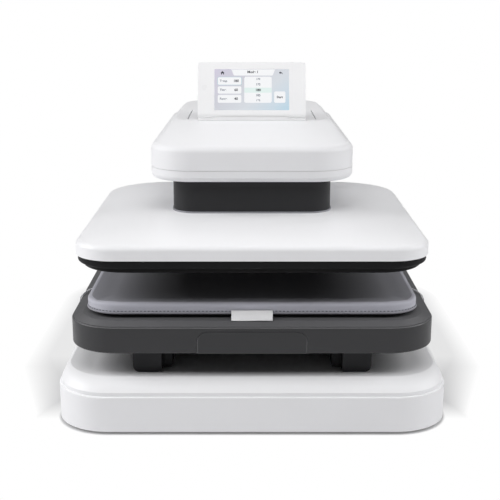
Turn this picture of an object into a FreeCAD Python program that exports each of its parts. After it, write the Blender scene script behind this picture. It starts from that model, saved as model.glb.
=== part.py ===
import FreeCAD, Part
import math
import os
import re

import Sketcher

# Automatic heat press. Millimetres. X to the right, Y to the back, Z up.
# The origin is on the floor under the middle of the base. Heights are stacked from the floor
# upwards, and each set_back is a distance behind the front of the base.

SIZES = {
    # Shared
    "wall": 3,
    "seam": 0.4,
    "play": 0.3,
    "fit": 0.05,
    "overcut": 1,
    # Base housing, rim and feet
    "base_width": 452.5,
    "base_corner": 63,
    "foot_height": 3.2,
    "foot_radius": 14,
    "foot_inset": 60,
    "base_wall_height": 41.4,
    "base_step_inset": 2.6,
    "base_step_height": 4.4,
    "base_shoulder_height": 13,
    "rim_side_inset": 11.2,
    "rim_end_inset": 20.5,
    "rim_corner": 58,
    "pan_thickness": 2,
    "base_screw_inset": 30,
    "base_screw_end": 90,
    "pan_slot_width": 6,
    "pan_slot_length": 50,
    "pan_slot_pitch": 14,
    "pan_slot_x": 90,
    # Rail blocks and telescopic slides
    "rail_spacing": 241,
    "rail_width": 33,
    "rail_set_back": 35,
    "rail_length": 395,
    "rail_block_height": 29.6,
    "rail_corner": 8,
    "slide_width": 12,
    "slide_height": 20,
    "slide_length": 380,
    "slide_sheet": 1.2,
    "slide_lift": 4,
    # Tray
    "tray_width": 419,
    "tray_depth": 424,
    "tray_corner": 55,
    "tray_set_back": 13,
    "tray_wall_height": 30.2,
    "tray_step_inset": 2.2,
    "tray_step_height": 1,
    "tray_bevel_inset": 13,
    "tray_bevel_height": 3.4,
    "tray_edge_round": 2,
    "tray_beam_width": 30,
    "tray_beam_sheet": 2,
    "tray_beam_end": 40,
    "tray_screw_inset": 22,
    "tray_screw_end": 70,
    "bracket_sheet": 2,
    "bracket_flange": 16,
    "bracket_end": 20,
    "bracket_grip": 5,
    "grip_width": 124,
    "grip_height": 25.6,
    "grip_corner": 12,
    "grip_depth": 22,
    "grip_sheet": 2,
    "grip_cup_inset": 6,
    "grip_flange": 4,
    # Lower platen and press pad
    "lower_platen_inset": 9,
    "lower_platen_thickness": 4.1,
    "pad_width": 385.6,
    "pad_depth": 380,
    "pad_corner": 38,
    "pad_set_back": 35.6,
    "pad_thickness": 14.9,
    "pad_skin": 1.6,
    "pad_edge_round": 4,
    "pad_crown": 0.8,
    "pad_crown_inset": 90,
    "pad_crown_corner": 20,
    "piping_height": 2,
    "stitch_height": 1,
    "stitch_depth": 0.7,
    "tab_width": 47,
    "tab_length": 14,
    "tab_thickness": 0.9,
    "tab_reach": 11.4,
    "tab_tilt": 50,
    "tab_lift": 0.8,
    "strap_radius": 1,
    "strap_bend": 1.8,
    "strap_set_back": 155,
    "strap_slant": 25,
    "strap_tuck": 10,
    # Upper platen
    "press_opening": 38,
    "heating_plate_inset": 6.5,
    "heating_plate_thickness": 14,
    "plate_edge_round": 2,
    "element_radius": 4,
    "element_bend": 16,
    "element_inset": 45,
    "element_lead_gap": 48,
    "insulation_thickness": 6,
    "insulation_gap": 3,
    "sensor_spacing": 220,
    "sensor_radius": 6,
    "sensor_height": 5,
    "sensor_stem_radius": 2,
    "sensor_stem_height": 3,
    "skirt_lift": 5.5,
    "skirt_height": 9.6,
    "skirt_inset": 1,
    "skirt_corner": 52,
    "skirt_edge_round": 3,
    "skirt_flange_inset": 28,
    "skirt_flange_height": 2,
    "cover_width": 402,
    "cover_depth": 410,
    "cover_corner": 46,
    "cover_rear_corner": 84,
    "cover_set_back": 15,
    "cover_wall_height": 16.6,
    "cover_crown": 6.3,
    "cover_edge_round": 6,
    "cover_flat_inset": 92,
    "cover_flat_corner": 30,
    "cover_flat_rear_corner": 40,
    "cover_post_inset": 11.5,
    "cover_post_spacing": 60,
    "cover_opening_inset": 14,
    # Bridge, guides and screw drive
    "bridge_thickness": 4,
    "bridge_lift": 8.5,
    "bridge_gap": 5,
    "rod_radius": 6,
    "rod_inset": 17,
    "rod_inset_along": 12,
    "rod_length": 91,
    "screw_radius": 8,
    "screw_flange_radius": 17,
    "screw_flange_height": 5,
    "guide_block_height": 24,
    "guide_block_gap": 9,
    "guide_block_lift": 26,
    "hanger_gap": 3.5,
    "hanger_thickness": 4,
    "bush_wall": 2,
    "nut_radius": 13,
    "bearing_radius": 20,
    "bearing_height": 8,
    "gear_module": 1.5,
    "gear_teeth": 56,
    "pinion_teeth": 26,
    "gear_height": 10,
    "motor_radius": 18.5,
    "motor_height": 38,
    "motor_flange": 6,
    "motor_shaft_radius": 4,
    "motor_shaft_depth": 4,
    # Lift shroud
    "shroud_width": 197,
    "shroud_depth": 112,
    "shroud_corner": 29,
    "shroud_wall": 2.5,
    "shroud_height": 81,
    "collar_height": 2,
    "collar_width": 1.2,
    "arm_gap": 2,
    "shroud_gap": 1,
    # Head
    "head_clearance": 40.5,
    "head_width": 252.6,
    "head_rear_width": 246,
    "head_overhang": 46,
    "head_corner": 52,
    "head_rear_corner": 78,
    "head_set_back": 150,
    "head_lower_height": 14,
    "head_wall_height": 30,
    "head_crown": 15.2,
    "head_slope_length": 133,
    "head_side_slope": 14,
    "head_rear_slope": 8,
    "head_edge_round": 8,
    "head_foot_round": 7,
    "head_lip_width": 1.6,
    "head_post_inset": 10.5,
    "head_rear_post_inset": 8.5,
    "head_post_set_back": 70,
    "head_rear_post_gap": 150,
    "arm_width": 140,
    "arm_height": 11,
    "arm_sheet": 3,
    "arm_end_gap": 20,
    "limit_width": 20,
    "limit_depth": 6,
    "limit_height": 10,
    "limit_spacing": 20,
    "limit_x": -52,
    "board_width": 112,
    "board_depth": 96,
    "board_gap": 16,
    "board_lift": 6,
    "board_thickness": 1.6,
    "board_post_radius": 3,
    "board_post_inset": 8,
    "vent_spacing": 172,
    "vent_set_back": 303,
    "vent_length": 117,
    "vent_width": 1.7,
    # Column
    "column_gap": 20,
    "base_rear_gap": 50,
    "column_width": 168,
    "column_depth": 105,
    "column_corner": 18,
    "column_frame_width": 150,
    "column_frame_depth": 91,
    "column_sheet": 3,
    "column_foot": 36,
    "column_bolt_inset": 22,
    "column_bolt_end": 24,
    # Display
    "display_set_back": 296.8,
    "display_width": 144,
    "display_height": 70.7,
    "display_thickness": 12,
    "display_split": 4,
    "display_corner": 3,
    "display_lean": 21,
    "hinge_height": 6.5,
    "hinge_bar_width": 97,
    "hinge_bar_radius": 3.2,
    "hinge_foot_height": 2.8,
    "hinge_ledge_depth": 2.4,
    "hinge_ledge_height": 4.9,
    "hinge_lip": 3.6,
    "hinge_lip_wall": 2.2,
    "hinge_pin_radius": 1.5,
    "screen_width": 99.8,
    "screen_height": 56.4,
    "screen_lift": 5,
    "screen_sink": 0.6,
    "screen_rim": 2.3,
    "screen_rim_depth": 1.5,
    "display_skin": 2,
    # Electrical pieces
    "panel_recess": 3,
    "panel_edge": 5,
    "panel_margin": 6,
    "inlet_x": -120,
    "inlet_width": 48,
    "inlet_height": 24,
    "socket_width": 27,
    "socket_height": 20,
    "socket_depth": 18,
    "socket_wall": 1.5,
    "inlet_rim": 2,
    "pin_width": 2,
    "pin_height": 4,
    "pin_length": 8,
    "pin_spacing": 14,
    "pin_step": 5,
    "switch_x": -70,
    "switch_width": 22,
    "switch_height": 30,
    "rocker_length": 19,
    "rocker_dish_radius": 24,
    "rocker_tilt": 8,
    "rocker_pivot": 4,
    "rocker_pivot_radius": 1.5,
    "rocker_proud": 5.5,
    "rocker_dip": 1.5,
    "switch_depth": 16,
    "switch_wall": 3,
    "switch_end_wall": 2,
    "switch_rim": 1.5,
    "switch_rim_height": 1.2,
    "supply_gap": 10,
    "supply_length": 150,
    "supply_rear_gap": 60,
    "supply_height": 34,
    "supply_slot_width": 4,
    "supply_slot_pitch": 12,
    "supply_slot_depth": 2,
    "fan_size": 60,
    "fan_depth": 15,
    "fan_height": 180,
    "fan_blades": 7,
    "fan_rim": 2,
    "fan_hub_radius": 12,
    "fan_axle_radius": 1.5,
    "fan_blade_thickness": 1.2,
    "fan_blade_angle": 50,
    "air_slot_width": 48,
    "air_slot_height": 3,
    "air_slot_pitch": 7,
    # Fasteners
    "screw_shank": 2,
    "screw_head": 4,
    "screw_head_height": 2,
    "screw_length": 13,
    "screw_hole_depth": 14,
    "bolt_shank": 3,
    "bolt_head": 5,
    "bolt_head_height": 4,
}

document = FreeCAD.newDocument("heat_press")
sheet = document.addObject("Spreadsheet::Sheet", "Sizes")
for row, (alias, size) in enumerate(SIZES.items(), start=1):
    sheet.set(f"A{row}", alias)
    sheet.set(f"B{row}", str(size))
    sheet.setAlias(f"B{row}", alias)
document.recompute()

# Places worked out from the driving sizes, as formulas of the sheet's names
BASE_DEPTH = "(cover_set_back + cover_depth + column_gap + column_depth + base_rear_gap)"
FRONT = f"(-{BASE_DEPTH} / 2)"
BACK = f"({BASE_DEPTH} / 2)"
PAN_TOP = "(foot_height + pan_thickness)"
BASE_WALL_TOP = "(foot_height + base_wall_height)"
BASE_STEP_TOP = f"({BASE_WALL_TOP} + base_step_height)"
DECK = f"({BASE_STEP_TOP} + base_shoulder_height)"
RAIL_FRONT = f"({FRONT} + rail_set_back)"
RAIL_INNER = "(rail_spacing / 2 - rail_width / 2)"
RAIL_TOP = f"({DECK} + rail_block_height)"
SLIDE_BOTTOM = f"({DECK} + slide_lift)"
SLIDE_FRONT = f"({RAIL_FRONT} + (rail_length - slide_length) / 2)"
TRAY_FRONT = f"({FRONT} + tray_set_back)"
TRAY_BACK = f"({TRAY_FRONT} + tray_depth)"
TRAY_BOTTOM = f"({RAIL_TOP} + play)"
TRAY_WALL_TOP = f"({TRAY_BOTTOM} + tray_wall_height)"
TRAY_STEP_TOP = f"({TRAY_WALL_TOP} + tray_step_height)"
TRAY_TOP = f"({TRAY_STEP_TOP} + tray_bevel_height)"
PLATEN_TOP = f"({TRAY_TOP} + lower_platen_thickness)"
PAD_FRONT = f"({FRONT} + pad_set_back)"
PAD_BACK = f"({PAD_FRONT} + pad_depth)"
PAD_TOP = f"({PLATEN_TOP} + pad_thickness)"
PRESS_FACE = f"({PAD_TOP} + press_opening)"
PLATE_TOP = f"({PRESS_FACE} + heating_plate_thickness)"
SKIRT_BOTTOM = f"({PRESS_FACE} + skirt_lift)"
COVER_RIM = f"({SKIRT_BOTTOM} + skirt_height)"
COVER_CREASE = f"({COVER_RIM} + cover_wall_height)"
COVER_TOP = f"({COVER_CREASE} + cover_crown)"
COVER_FRONT = f"({FRONT} + cover_set_back)"
COVER_BACK = f"({COVER_FRONT} + cover_depth)"
PRESS_Y = f"({COVER_FRONT} + cover_depth / 2)"
BRIDGE_BOTTOM = f"({PLATE_TOP} + bridge_lift)"
BRIDGE_TOP = f"({BRIDGE_BOTTOM} + bridge_thickness)"
BLOCK_BOTTOM = f"({BRIDGE_TOP} + guide_block_lift)"
BLOCK_TOP = f"({BLOCK_BOTTOM} + guide_block_height)"
GEAR_BOTTOM = f"({BLOCK_TOP} + 2 * play)"
GEAR_TOP = f"({GEAR_BOTTOM} + gear_height)"
MOTOR_X = "(gear_module * (gear_teeth + pinion_teeth) / 2)"
MOTOR_TOP = f"({BLOCK_TOP} - motor_flange)"
SHROUD_TOP = f"({COVER_TOP} + shroud_height)"
ARM_BOTTOM = f"({SHROUD_TOP} + arm_gap)"
ARM_TOP = f"({ARM_BOTTOM} + arm_height)"
HANGER_OFFSET = "(shroud_depth / 2 - shroud_wall - hanger_thickness - hanger_gap)"
HANGER_FRONT = f"({PRESS_Y} + {HANGER_OFFSET})"
HANGER_BACK = f"({HANGER_FRONT} + hanger_thickness)"
HEAD_BOTTOM = f"({COVER_TOP} + head_clearance)"
SEAM_HEIGHT = f"({HEAD_BOTTOM} + head_lower_height)"
HEAD_CREASE = f"({SEAM_HEIGHT} + head_wall_height)"
HEAD_TOP = f"({HEAD_CREASE} + head_crown)"
HEAD_FRONT = f"({FRONT} + head_set_back)"
COLUMN_FRONT = f"({COVER_BACK} + column_gap)"
COLUMN_BACK = f"({COLUMN_FRONT} + column_depth)"
HEAD_BACK = f"({COLUMN_BACK} + head_overhang)"
FRAME_BACK = f"({COLUMN_BACK} - (column_depth - column_frame_depth) / 2)"
FRAME_FRONT = f"({FRAME_BACK} - column_frame_depth)"
ARM_BACK = f"({FRAME_BACK} - arm_end_gap)"
HINGE_Y = f"({FRONT} + display_set_back)"
HINGE_Z = f"({HEAD_TOP} + hinge_height)"
BLOCK_HALF = "(shroud_width / 2 - shroud_wall - guide_block_gap)"
ROD_X = f"({BLOCK_HALF} - rod_inset)"
ROD_Y = f"({HANGER_OFFSET} - rod_inset_along)"
PANEL = f"({BACK} - panel_recess)"
INLET_Z = f"(({PAN_TOP} + {BASE_WALL_TOP}) / 2)"
INLET_HALF = "(socket_width / 2 + play)"
GRIP_SIDE = "(grip_width / 2)"
GRIP_TOP = f"({TRAY_BOTTOM} + grip_height)"
VENT_Y = (f"({FRONT} + vent_set_back)", f"({FRONT} + vent_set_back + vent_length)")
HALF_THICK = "(display_thickness / 2)"
NOTCH_X = "(hinge_bar_width / 2 + play)"
SPLIT_Y = f"(-{HALF_THICK} + display_split)"

TURN_AXIS = FreeCAD.Vector(1, 0, 0)
TURN = {
    "x": FreeCAD.Rotation(FreeCAD.Vector(0, 1, 0), 90),
    "y": FreeCAD.Rotation(FreeCAD.Vector(1, 0, 0), -90),
    "z": FreeCAD.Rotation(),
}
SIDES = (-1, 1)
CORNERS = ((-1, -1), (1, -1), (1, 1), (-1, 1))
nodes = []
hollows = []


def formula(text):
    """A formula of size names, written with the sheet's name before each."""
    return re.sub(r"[a-z][a-z0-9_]*",
                  lambda word: f"Sizes.{word[0]}" if word[0] in SIZES else word[0],
                  str(text))


def value(text):
    """The number that a formula comes to."""
    return float(sheet.evalExpression(formula(text)))


def bind(item, **formulas):
    for name, text in formulas.items():
        item.setExpression(name, formula(text))


def place(item, **formulas):
    for axis, text in formulas.items():
        item.setExpression(f"Placement.Base.{axis}", formula(text))


def tilt(item, angle):
    """Turn an item about X. Its own axis of turning is fixed first, then the angle is bound."""
    item.Placement = FreeCAD.Placement(FreeCAD.Vector(), FreeCAD.Rotation(TURN_AXIS, 1))
    item.setExpression("Placement.Rotation.Angle", formula(angle))


def node(label, item):
    """Name a finished piece. Its label becomes its file's name."""
    item.Label = label
    nodes.append(item)
    return item


def box(name, x, y, z):
    """A block given by its low and high formulas along each axis."""
    item = document.addObject("Part::Box", name)
    for side, axis, (low, high) in zip(("Length", "Width", "Height"), "xyz", (x, y, z)):
        item.setExpression(side, formula(f"({high}) - ({low})"))
        item.setExpression(f"Placement.Base.{axis}", formula(low))
    return item


def across(width):
    """Low and high X of something centred on the middle plane."""
    return f"-({width}) / 2", f"({width}) / 2"


def rod(name, axis, centre, span, radius):
    """A cylinder along one axis. The centre holds its two other coordinates."""
    item = document.addObject("Part::Cylinder", name)
    item.Placement = FreeCAD.Placement(FreeCAD.Vector(), TURN[axis])
    places = dict(zip("xyz".replace(axis, ""), centre))
    places[axis] = span[0]
    bind(item, Radius=radius, Height=f"({span[1]}) - ({span[0]})")
    place(item, **places)
    return item


def fuse(name, *pieces):
    item = document.addObject("Part::MultiFuse", name)
    item.Shapes = list(pieces)
    return item


def cut(name, base, *tools):
    item = document.addObject("Part::Cut", name)
    item.Base = base
    item.Tool = tools[0] if len(tools) == 1 else fuse(name + "_tools", *tools)
    return item


def group(name, *pieces):
    """Separate solids of one kind, kept together as one node."""
    item = document.addObject("Part::Compound", name)
    item.Links = list(pieces)
    return item


def made(name, shape):
    """A piece whose shape is worked out in code from the sheet's sizes."""
    item = document.addObject("Part::Feature", name)
    item.Shape = shape
    return item


def rounded(name, base, radius, pick):
    """Round the edges of a piece that pick chooses."""
    base.recompute(True)
    item = document.addObject("Part::Fillet", name)
    item.Base = base
    amount = value(radius)
    item.Edges = [(index, amount, amount)
                  for index, edge in enumerate(base.Shape.Edges, start=1) if pick(edge)]
    return item


class Plan:
    """A four-sided outline with round corners, seen from above, given by formulas."""

    def __init__(self, width, front, back, corner, rear_width=None, rear_corner=None):
        self.width = width
        self.front = front
        self.back = back
        self.corner = corner
        self.rear_width = rear_width or width
        self.rear_corner = rear_corner or corner

    def inset(self, side, end=None, corner=None, rear_corner=None):
        """The same outline drawn in, by default with the corners' centres kept."""
        end = end or side
        return Plan(f"({self.width} - 2 * ({side}))", f"({self.front} + {end})",
                    f"({self.back} - ({end}))",
                    corner or f"({self.corner} - ({side}))",
                    f"({self.rear_width} - 2 * ({side}))",
                    rear_corner or corner or f"({self.rear_corner} - ({side}))")

    def arcs(self):
        """Centre, radius and start angle of each corner, anticlockwise from the front right."""
        front_x = f"(({self.width}) / 2 - ({self.corner}))"
        rear_x = f"(({self.rear_width}) / 2 - ({self.rear_corner}))"
        front_y = f"({self.front} + {self.corner})"
        rear_y = f"({self.back} - ({self.rear_corner}))"
        return ((front_x, front_y, self.corner, 270), (rear_x, rear_y, self.rear_corner, 0),
                (f"-{rear_x}", rear_y, self.rear_corner, 90),
                (f"-{front_x}", front_y, self.corner, 180))


def new_body(name):
    return document.addObject("PartDesign::Body", name)


def base_plane(body):
    return next(item for item in body.Origin.OriginFeatures if item.Role == "XY_Plane")


def sketch_plan(body, plan, level):
    """A sketch of a plan at a height: four arcs joined by four tangent lines."""
    sketch = body.newObject("Sketcher::SketchObject", "outline")
    sketch.AttachmentSupport = [(base_plane(body), "")]
    sketch.MapMode = "FlatFace"
    sketch.setExpression("AttachmentOffset.Base.z", formula(level))
    corners = []
    for x, y, radius, start in plan.arcs():
        circle = Part.Circle(FreeCAD.Vector(value(x), value(y), 0), FreeCAD.Vector(0, 0, 1),
                             value(radius))
        arc = Part.ArcOfCircle(circle, math.radians(start), math.radians(start + 90))
        corners.append(sketch.addGeometry(arc))
    for first, second in zip(corners, corners[1:] + corners[:1]):
        line = sketch.addGeometry(Part.LineSegment(sketch.getPoint(first, 2),
                                                   sketch.getPoint(second, 1)))
        sketch.addConstraint(Sketcher.Constraint("Tangent", first, 2, line, 1))
        sketch.addConstraint(Sketcher.Constraint("Tangent", line, 2, second, 1))
    for corner, (x, y, radius, start) in zip(corners, plan.arcs()):
        for kind, text in (("DistanceX", x), ("DistanceY", y)):
            index = sketch.addConstraint(
                Sketcher.Constraint(kind, -1, 1, corner, 3, value(text)))
            sketch.setExpression(f"Constraints[{index}]", formula(text))
        index = sketch.addConstraint(Sketcher.Constraint("Radius", corner, value(radius)))
        sketch.setExpression(f"Constraints[{index}]", formula(radius))
    return sketch


def pad(body, plan, low, high):
    """Raise a plan from one height to another."""
    feature = body.newObject("PartDesign::Pad", "raised")
    feature.Profile = sketch_plan(body, plan, low)
    bind(feature, Length=f"({high}) - ({low})")
    return feature


def pocket(body, plan, low, high):
    """Cut a plan out between two heights, downwards from the higher one."""
    feature = body.newObject("PartDesign::Pocket", "hollow")
    feature.Profile = sketch_plan(body, plan, high)
    bind(feature, Length=f"({high}) - ({low})")
    hollows.append(feature)
    return feature


def loft(body, sections, kind="AdditiveLoft"):
    """A smooth form through plans at rising heights."""
    sketches = [sketch_plan(body, plan, level) for plan, level in sections]
    feature = body.newObject(f"PartDesign::{kind}", "formed")
    feature.Profile = sketches[0]
    feature.Sections = sketches[1:]
    feature.Ruled = False
    return feature


def at_level(level):
    """Chooses the flat edges that lie at a height."""
    height = value(level)
    return lambda edge: (abs(edge.BoundBox.ZMin - height) < 1e-4
                         and abs(edge.BoundBox.ZMax - height) < 1e-4)


def soften(body, feature, radius, level):
    """Round the edges of a body's feature that lie at a height."""
    feature.recompute(True)
    pick = at_level(level)
    names = [f"Edge{index}" for index, edge in enumerate(feature.Shape.Edges, start=1)
             if pick(edge)]
    rounding = body.newObject("PartDesign::Fillet", "rounding")
    rounding.Base = (feature, names)
    bind(rounding, Radius=radius)
    return rounding


def slab(name, plan, low, high):
    """A body that is one raised plan."""
    body = new_body(name)
    pad(body, plan, low, high)
    return body


def tube_path(points, radius):
    """Straight runs joined by tangent arcs of one radius."""
    edges = []
    start = points[0]
    for before, corner, after in zip(points, points[1:], points[2:]):
        arriving = (corner - before).normalize()
        leaving = (after - corner).normalize()
        half_turn = arriving.getAngle(leaving) / 2
        reach = radius * math.tan(half_turn)
        first = corner - arriving * reach
        last = corner + leaving * reach
        inward = (leaving - arriving).normalize()
        middle = corner + inward * (radius / math.cos(half_turn) - radius)
        edges.append(Part.LineSegment(start, first).toShape())
        edges.append(Part.Arc(first, middle, last).toShape())
        start = last
    edges.append(Part.LineSegment(start, points[-1]).toShape())
    return Part.Wire(edges)


def tube(points, bend, radius):
    """A round solid along a bent path."""
    path = tube_path(points, bend)
    direction = points[1] - points[0]
    ring = Part.Wire(Part.Circle(points[0], direction, radius).toShape())
    return path.makePipeShell([ring], True, False)


def holes(name, centres, low, high, radius):
    """Upright cylinders that make room for a set of screws, rods or bushes."""
    drills = [rod(name, "z", centre, (low, high), radius) for centre in centres]
    return fuse(name + "_set", *drills)


SCREW = ("screw_head", "screw_head_height", "screw_shank")
BOLT = ("bolt_head", "bolt_head_height", "bolt_shank")


def fastener_set(centres, seat, tip, kind):
    """Separate fasteners of one kind. The head is on the far side of the seat from the tip."""
    head, head_height, shank = kind
    head_up = value(seat) > value(tip)
    solids = []
    for centre in centres:
        ends = (seat, f"{seat} + {head_height}") if head_up else (f"{seat} - {head_height}", seat)
        shaft = (tip, seat) if head_up else (seat, tip)
        solids.append(fuse("fastener", rod("fastener_head", "z", centre, ends, head),
                           rod("fastener_shank", "z", centre, shaft, shank)))
    return solids


def ring(name, plan, inner, low, high):
    """A closed band between two plans."""
    body = new_body(name)
    pad(body, plan, low, high)
    pocket(body, inner, low, high)
    return body


# Outlines
BASE = Plan("base_width", FRONT, BACK, "base_corner")
BASE_STEP = BASE.inset("base_step_inset")
BASE_RIM = BASE.inset("rim_side_inset", "rim_end_inset", "rim_corner")
TRAY = Plan("tray_width", TRAY_FRONT, TRAY_BACK, "tray_corner")
TRAY_STEP = TRAY.inset("tray_step_inset")
TRAY_DECK = TRAY.inset("tray_bevel_inset")
PAD = Plan("pad_width", PAD_FRONT, PAD_BACK, "pad_corner")
COVER = Plan("cover_width", COVER_FRONT, COVER_BACK, "cover_corner",
             rear_corner="cover_rear_corner")
SHROUD = Plan("shroud_width", f"({PRESS_Y} - shroud_depth / 2)", f"({PRESS_Y} + shroud_depth / 2)",
              "shroud_corner")
HEAD = Plan("head_width", HEAD_FRONT, HEAD_BACK, "head_corner", "head_rear_width",
            "head_rear_corner")
COLUMN = Plan("column_width", COLUMN_FRONT, COLUMN_BACK, "column_corner")

# Places of repeated fasteners and posts
BASE_SCREWS = [(f"{side} * (base_width / 2 - base_screw_inset)", y) for side in SIDES
               for y in (f"({FRONT} + base_screw_end)", "0", f"({BACK} - base_screw_end)")]
COLUMN_BOLTS = [(f"{side} * (column_frame_width / 2 - column_bolt_inset)", y) for side in SIDES
                for y in (f"({FRAME_FRONT} + column_bolt_end)",
                          f"({FRAME_BACK} - column_bolt_end)")]
TRAY_SCREWS = [(f"{side} * (tray_width / 2 - tray_screw_inset)", y) for side in SIDES
               for y in (f"({TRAY_FRONT} + tray_screw_end)", f"({TRAY_BACK} - tray_screw_end)")]
HEAD_SCREWS = [(f"{side} * ({half_width})", y) for side in SIDES
               for half_width, y in (
                   ("head_width / 2 - head_post_inset",
                    f"({HEAD_FRONT} + head_post_set_back)"),
                   ("head_rear_width / 2 - head_rear_post_inset",
                    f"({HEAD_BACK} - head_rear_post_gap)"))]
RODS = [(f"({x} * {ROD_X})", f"({PRESS_Y} + {y} * {ROD_Y})") for x, y in CORNERS]
COVER_POSTS = [(f"{x} * (shroud_width / 2 - cover_post_inset)",
                f"({PRESS_Y} + {y} * cover_post_spacing / 2)") for x, y in CORNERS]
BOARD_FRONT = f"({HANGER_BACK} + board_gap)"
BOARD_POSTS = [(f"{side} * (board_width / 2 - board_post_inset)", y) for side in SIDES
               for y in (f"({BOARD_FRONT} + board_post_inset)",
                         f"({BOARD_FRONT} + board_depth - board_post_inset)")]
SENSORS = [(f"({side} * sensor_spacing / 2)", PRESS_Y) for side in SIDES]


# Base
SHOULDER_CURVE = ((0.14, 0.26), (0.5, 0.68))  # shares of its way in and of its way up


def base_shell():
    """White two-step housing, hollow from below, with a deck, screw posts and a rear panel."""
    body = new_body("base_body")
    wall = pad(body, BASE, "foot_height", BASE_WALL_TOP)
    soften(body, wall, "base_step_inset / 2", BASE_WALL_TOP)
    pad(body, BASE_STEP, BASE_WALL_TOP, BASE_STEP_TOP)
    shoulder = [(BASE_STEP, BASE_STEP_TOP)]
    for share_in, share_up in SHOULDER_CURVE:
        plan = BASE.inset(f"(base_step_inset + {share_in} * (rim_side_inset - base_step_inset))",
                          f"(base_step_inset + {share_in} * (rim_end_inset - base_step_inset))",
                          f"(base_corner - base_step_inset + {share_in} * (rim_corner"
                          " - base_corner + base_step_inset))")
        shoulder.append((plan, f"{BASE_STEP_TOP} + {share_up} * base_shoulder_height"))
    shoulder.append((BASE_RIM, DECK))
    loft(body, shoulder)
    pocket(body, BASE.inset("wall"), "foot_height", f"{BASE_WALL_TOP} - wall")
    pocket(body, BASE.inset("base_step_inset + wall"), "foot_height", BASE_STEP_TOP)
    pocket(body, BASE_RIM.inset("wall"), "foot_height", f"{DECK} - wall")
    posts = [rod("base_post", "z", centre, (PAN_TOP, f"{DECK} - wall / 2"), "2 * screw_head")
             for centre in BASE_SCREWS]
    screw_room = holes("base_screw_room", BASE_SCREWS, "foot_height",
                       "foot_height + screw_hole_depth", "screw_shank")
    column_room = box("column_room", across("column_frame_width + 2 * play"),
                      (f"{FRAME_FRONT} - play", f"{FRAME_BACK} + play"),
                      (f"{DECK} - 2 * wall", f"{DECK} + overcut"))
    panel_low = "(inlet_x - inlet_width / 2 - panel_margin)"
    panel_high = "(switch_x + switch_width / 2 + panel_margin)"
    recess = box("panel_recess_room", (panel_low, panel_high), (PANEL, f"{BACK} + overcut"),
                 ("foot_height + panel_edge", f"{BASE_WALL_TOP} - wall"))
    backing = box("panel_backing", (f"{panel_low} - wall", f"{panel_high} + wall"),
                  (f"{PANEL} - wall", PANEL), (PAN_TOP, BASE_WALL_TOP))
    inlet_room = box("inlet_room", (f"inlet_x - {INLET_HALF}", f"inlet_x + {INLET_HALF}"),
                     (f"{PANEL} - wall - overcut", BACK),
                     (f"{INLET_Z} - socket_height / 2 - play",
                      f"{INLET_Z} + socket_height / 2 + play"))
    switch_room = box("switch_room", ("switch_x - switch_width / 2", "switch_x + switch_width / 2"),
                      (f"{PANEL} - wall - overcut", BACK),
                      (f"{INLET_Z} - switch_height / 2", f"{INLET_Z} + switch_height / 2"))
    backed = fuse("base_with_posts", body, backing, *posts)
    shell = cut("base_shell", backed, screw_room, column_room, recess, inlet_room, switch_room)
    node("base_shell", shell)


def base_pan():
    """Steel floor of the base, with two rows of air slots."""
    plate = slab("pan_body", BASE.inset("wall + play"), "foot_height", PAN_TOP)
    through = ("foot_height - overcut", f"{PAN_TOP} + overcut")
    slots = []
    for column in range(6):
        low_x = f"(pan_slot_x + {column} * pan_slot_pitch)"
        for low_y in ("(-3 * pan_slot_length)", "pan_slot_length"):
            slots.append(box("pan_slot", (low_x, f"{low_x} + pan_slot_width"),
                             (low_y, f"{low_y} + pan_slot_length"), through))
    screw_room = holes("pan_screw_room", BASE_SCREWS, *through, "screw_shank")
    bolt_room = holes("pan_bolt_room", COLUMN_BOLTS, *through, "bolt_shank")
    node("base_pan", cut("base_pan", plate, screw_room, bolt_room, *slots))


def rubber_feet():
    feet = [rod("foot", "z", (f"{x} * (base_width / 2 - foot_inset)",
                              f"{y} * ({BACK} - foot_inset)"),
                ("0", "foot_height"), "foot_radius") for x, y in CORNERS]
    node("rubber_feet", group("rubber_feet", *feet))


def rail_blocks():
    """Two dark hollow blocks on the deck that carry the tray and its slides."""
    blocks = []
    for side in SIDES:
        low = f"({side} * rail_spacing / 2 - rail_width / 2)"
        block = box("rail_block", (low, f"{low} + rail_width"),
                    (RAIL_FRONT, f"{RAIL_FRONT} + rail_length"), (DECK, RAIL_TOP))
        outer = value(f"{side} * (rail_spacing + rail_width) / 2")
        bottom = value(DECK)
        softened = rounded("rail_block_round", block, "rail_corner",
                           lambda edge: abs(edge.CenterOfMass.x - outer) < 1e-4
                           and abs(edge.CenterOfMass.z - bottom) < 1e-4)
        room = box("rail_block_room", (f"{low} + wall", f"{low} + rail_width - wall"),
                   (f"{RAIL_FRONT} + 2 * wall", f"{RAIL_FRONT} + rail_length - wall"),
                   (f"{DECK} - overcut", f"{RAIL_TOP} - wall"))
        blocks.append(cut("rail_block_hollow", softened, room))
    node("rail_blocks", group("rail_blocks", *blocks))


def slide_channel(name, side, shrink, solid=False):
    """One member of a telescopic slide: a channel open towards the middle, or a solid bar."""
    step = f"({shrink} * (slide_sheet + play))"
    outer = f"({side} * ({RAIL_INNER} - {step}))"
    reach = "slide_width" if solid else "(slide_width - 2 * play)"
    inner = f"({side} * ({RAIL_INNER} - {reach}))"
    x = (outer, inner) if side < 0 else (inner, outer)
    z = (f"{SLIDE_BOTTOM} + {step}", f"{SLIDE_BOTTOM} + slide_height - {step}")
    y = (SLIDE_FRONT, f"{SLIDE_FRONT} + slide_length")
    bar = box(name + "_bar", x, y, z)
    if solid:
        return bar
    web = f"({outer} - ({side}) * slide_sheet)"
    past = f"({inner} - ({side}) * overcut)"
    room = box(name + "_room", (web, past) if side < 0 else (past, web),
               (f"{y[0]} - overcut", f"{y[1]} + overcut"),
               (f"{z[0]} + slide_sheet", f"{z[1]} - slide_sheet"))
    return cut(name + "_channel", bar, room)


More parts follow.
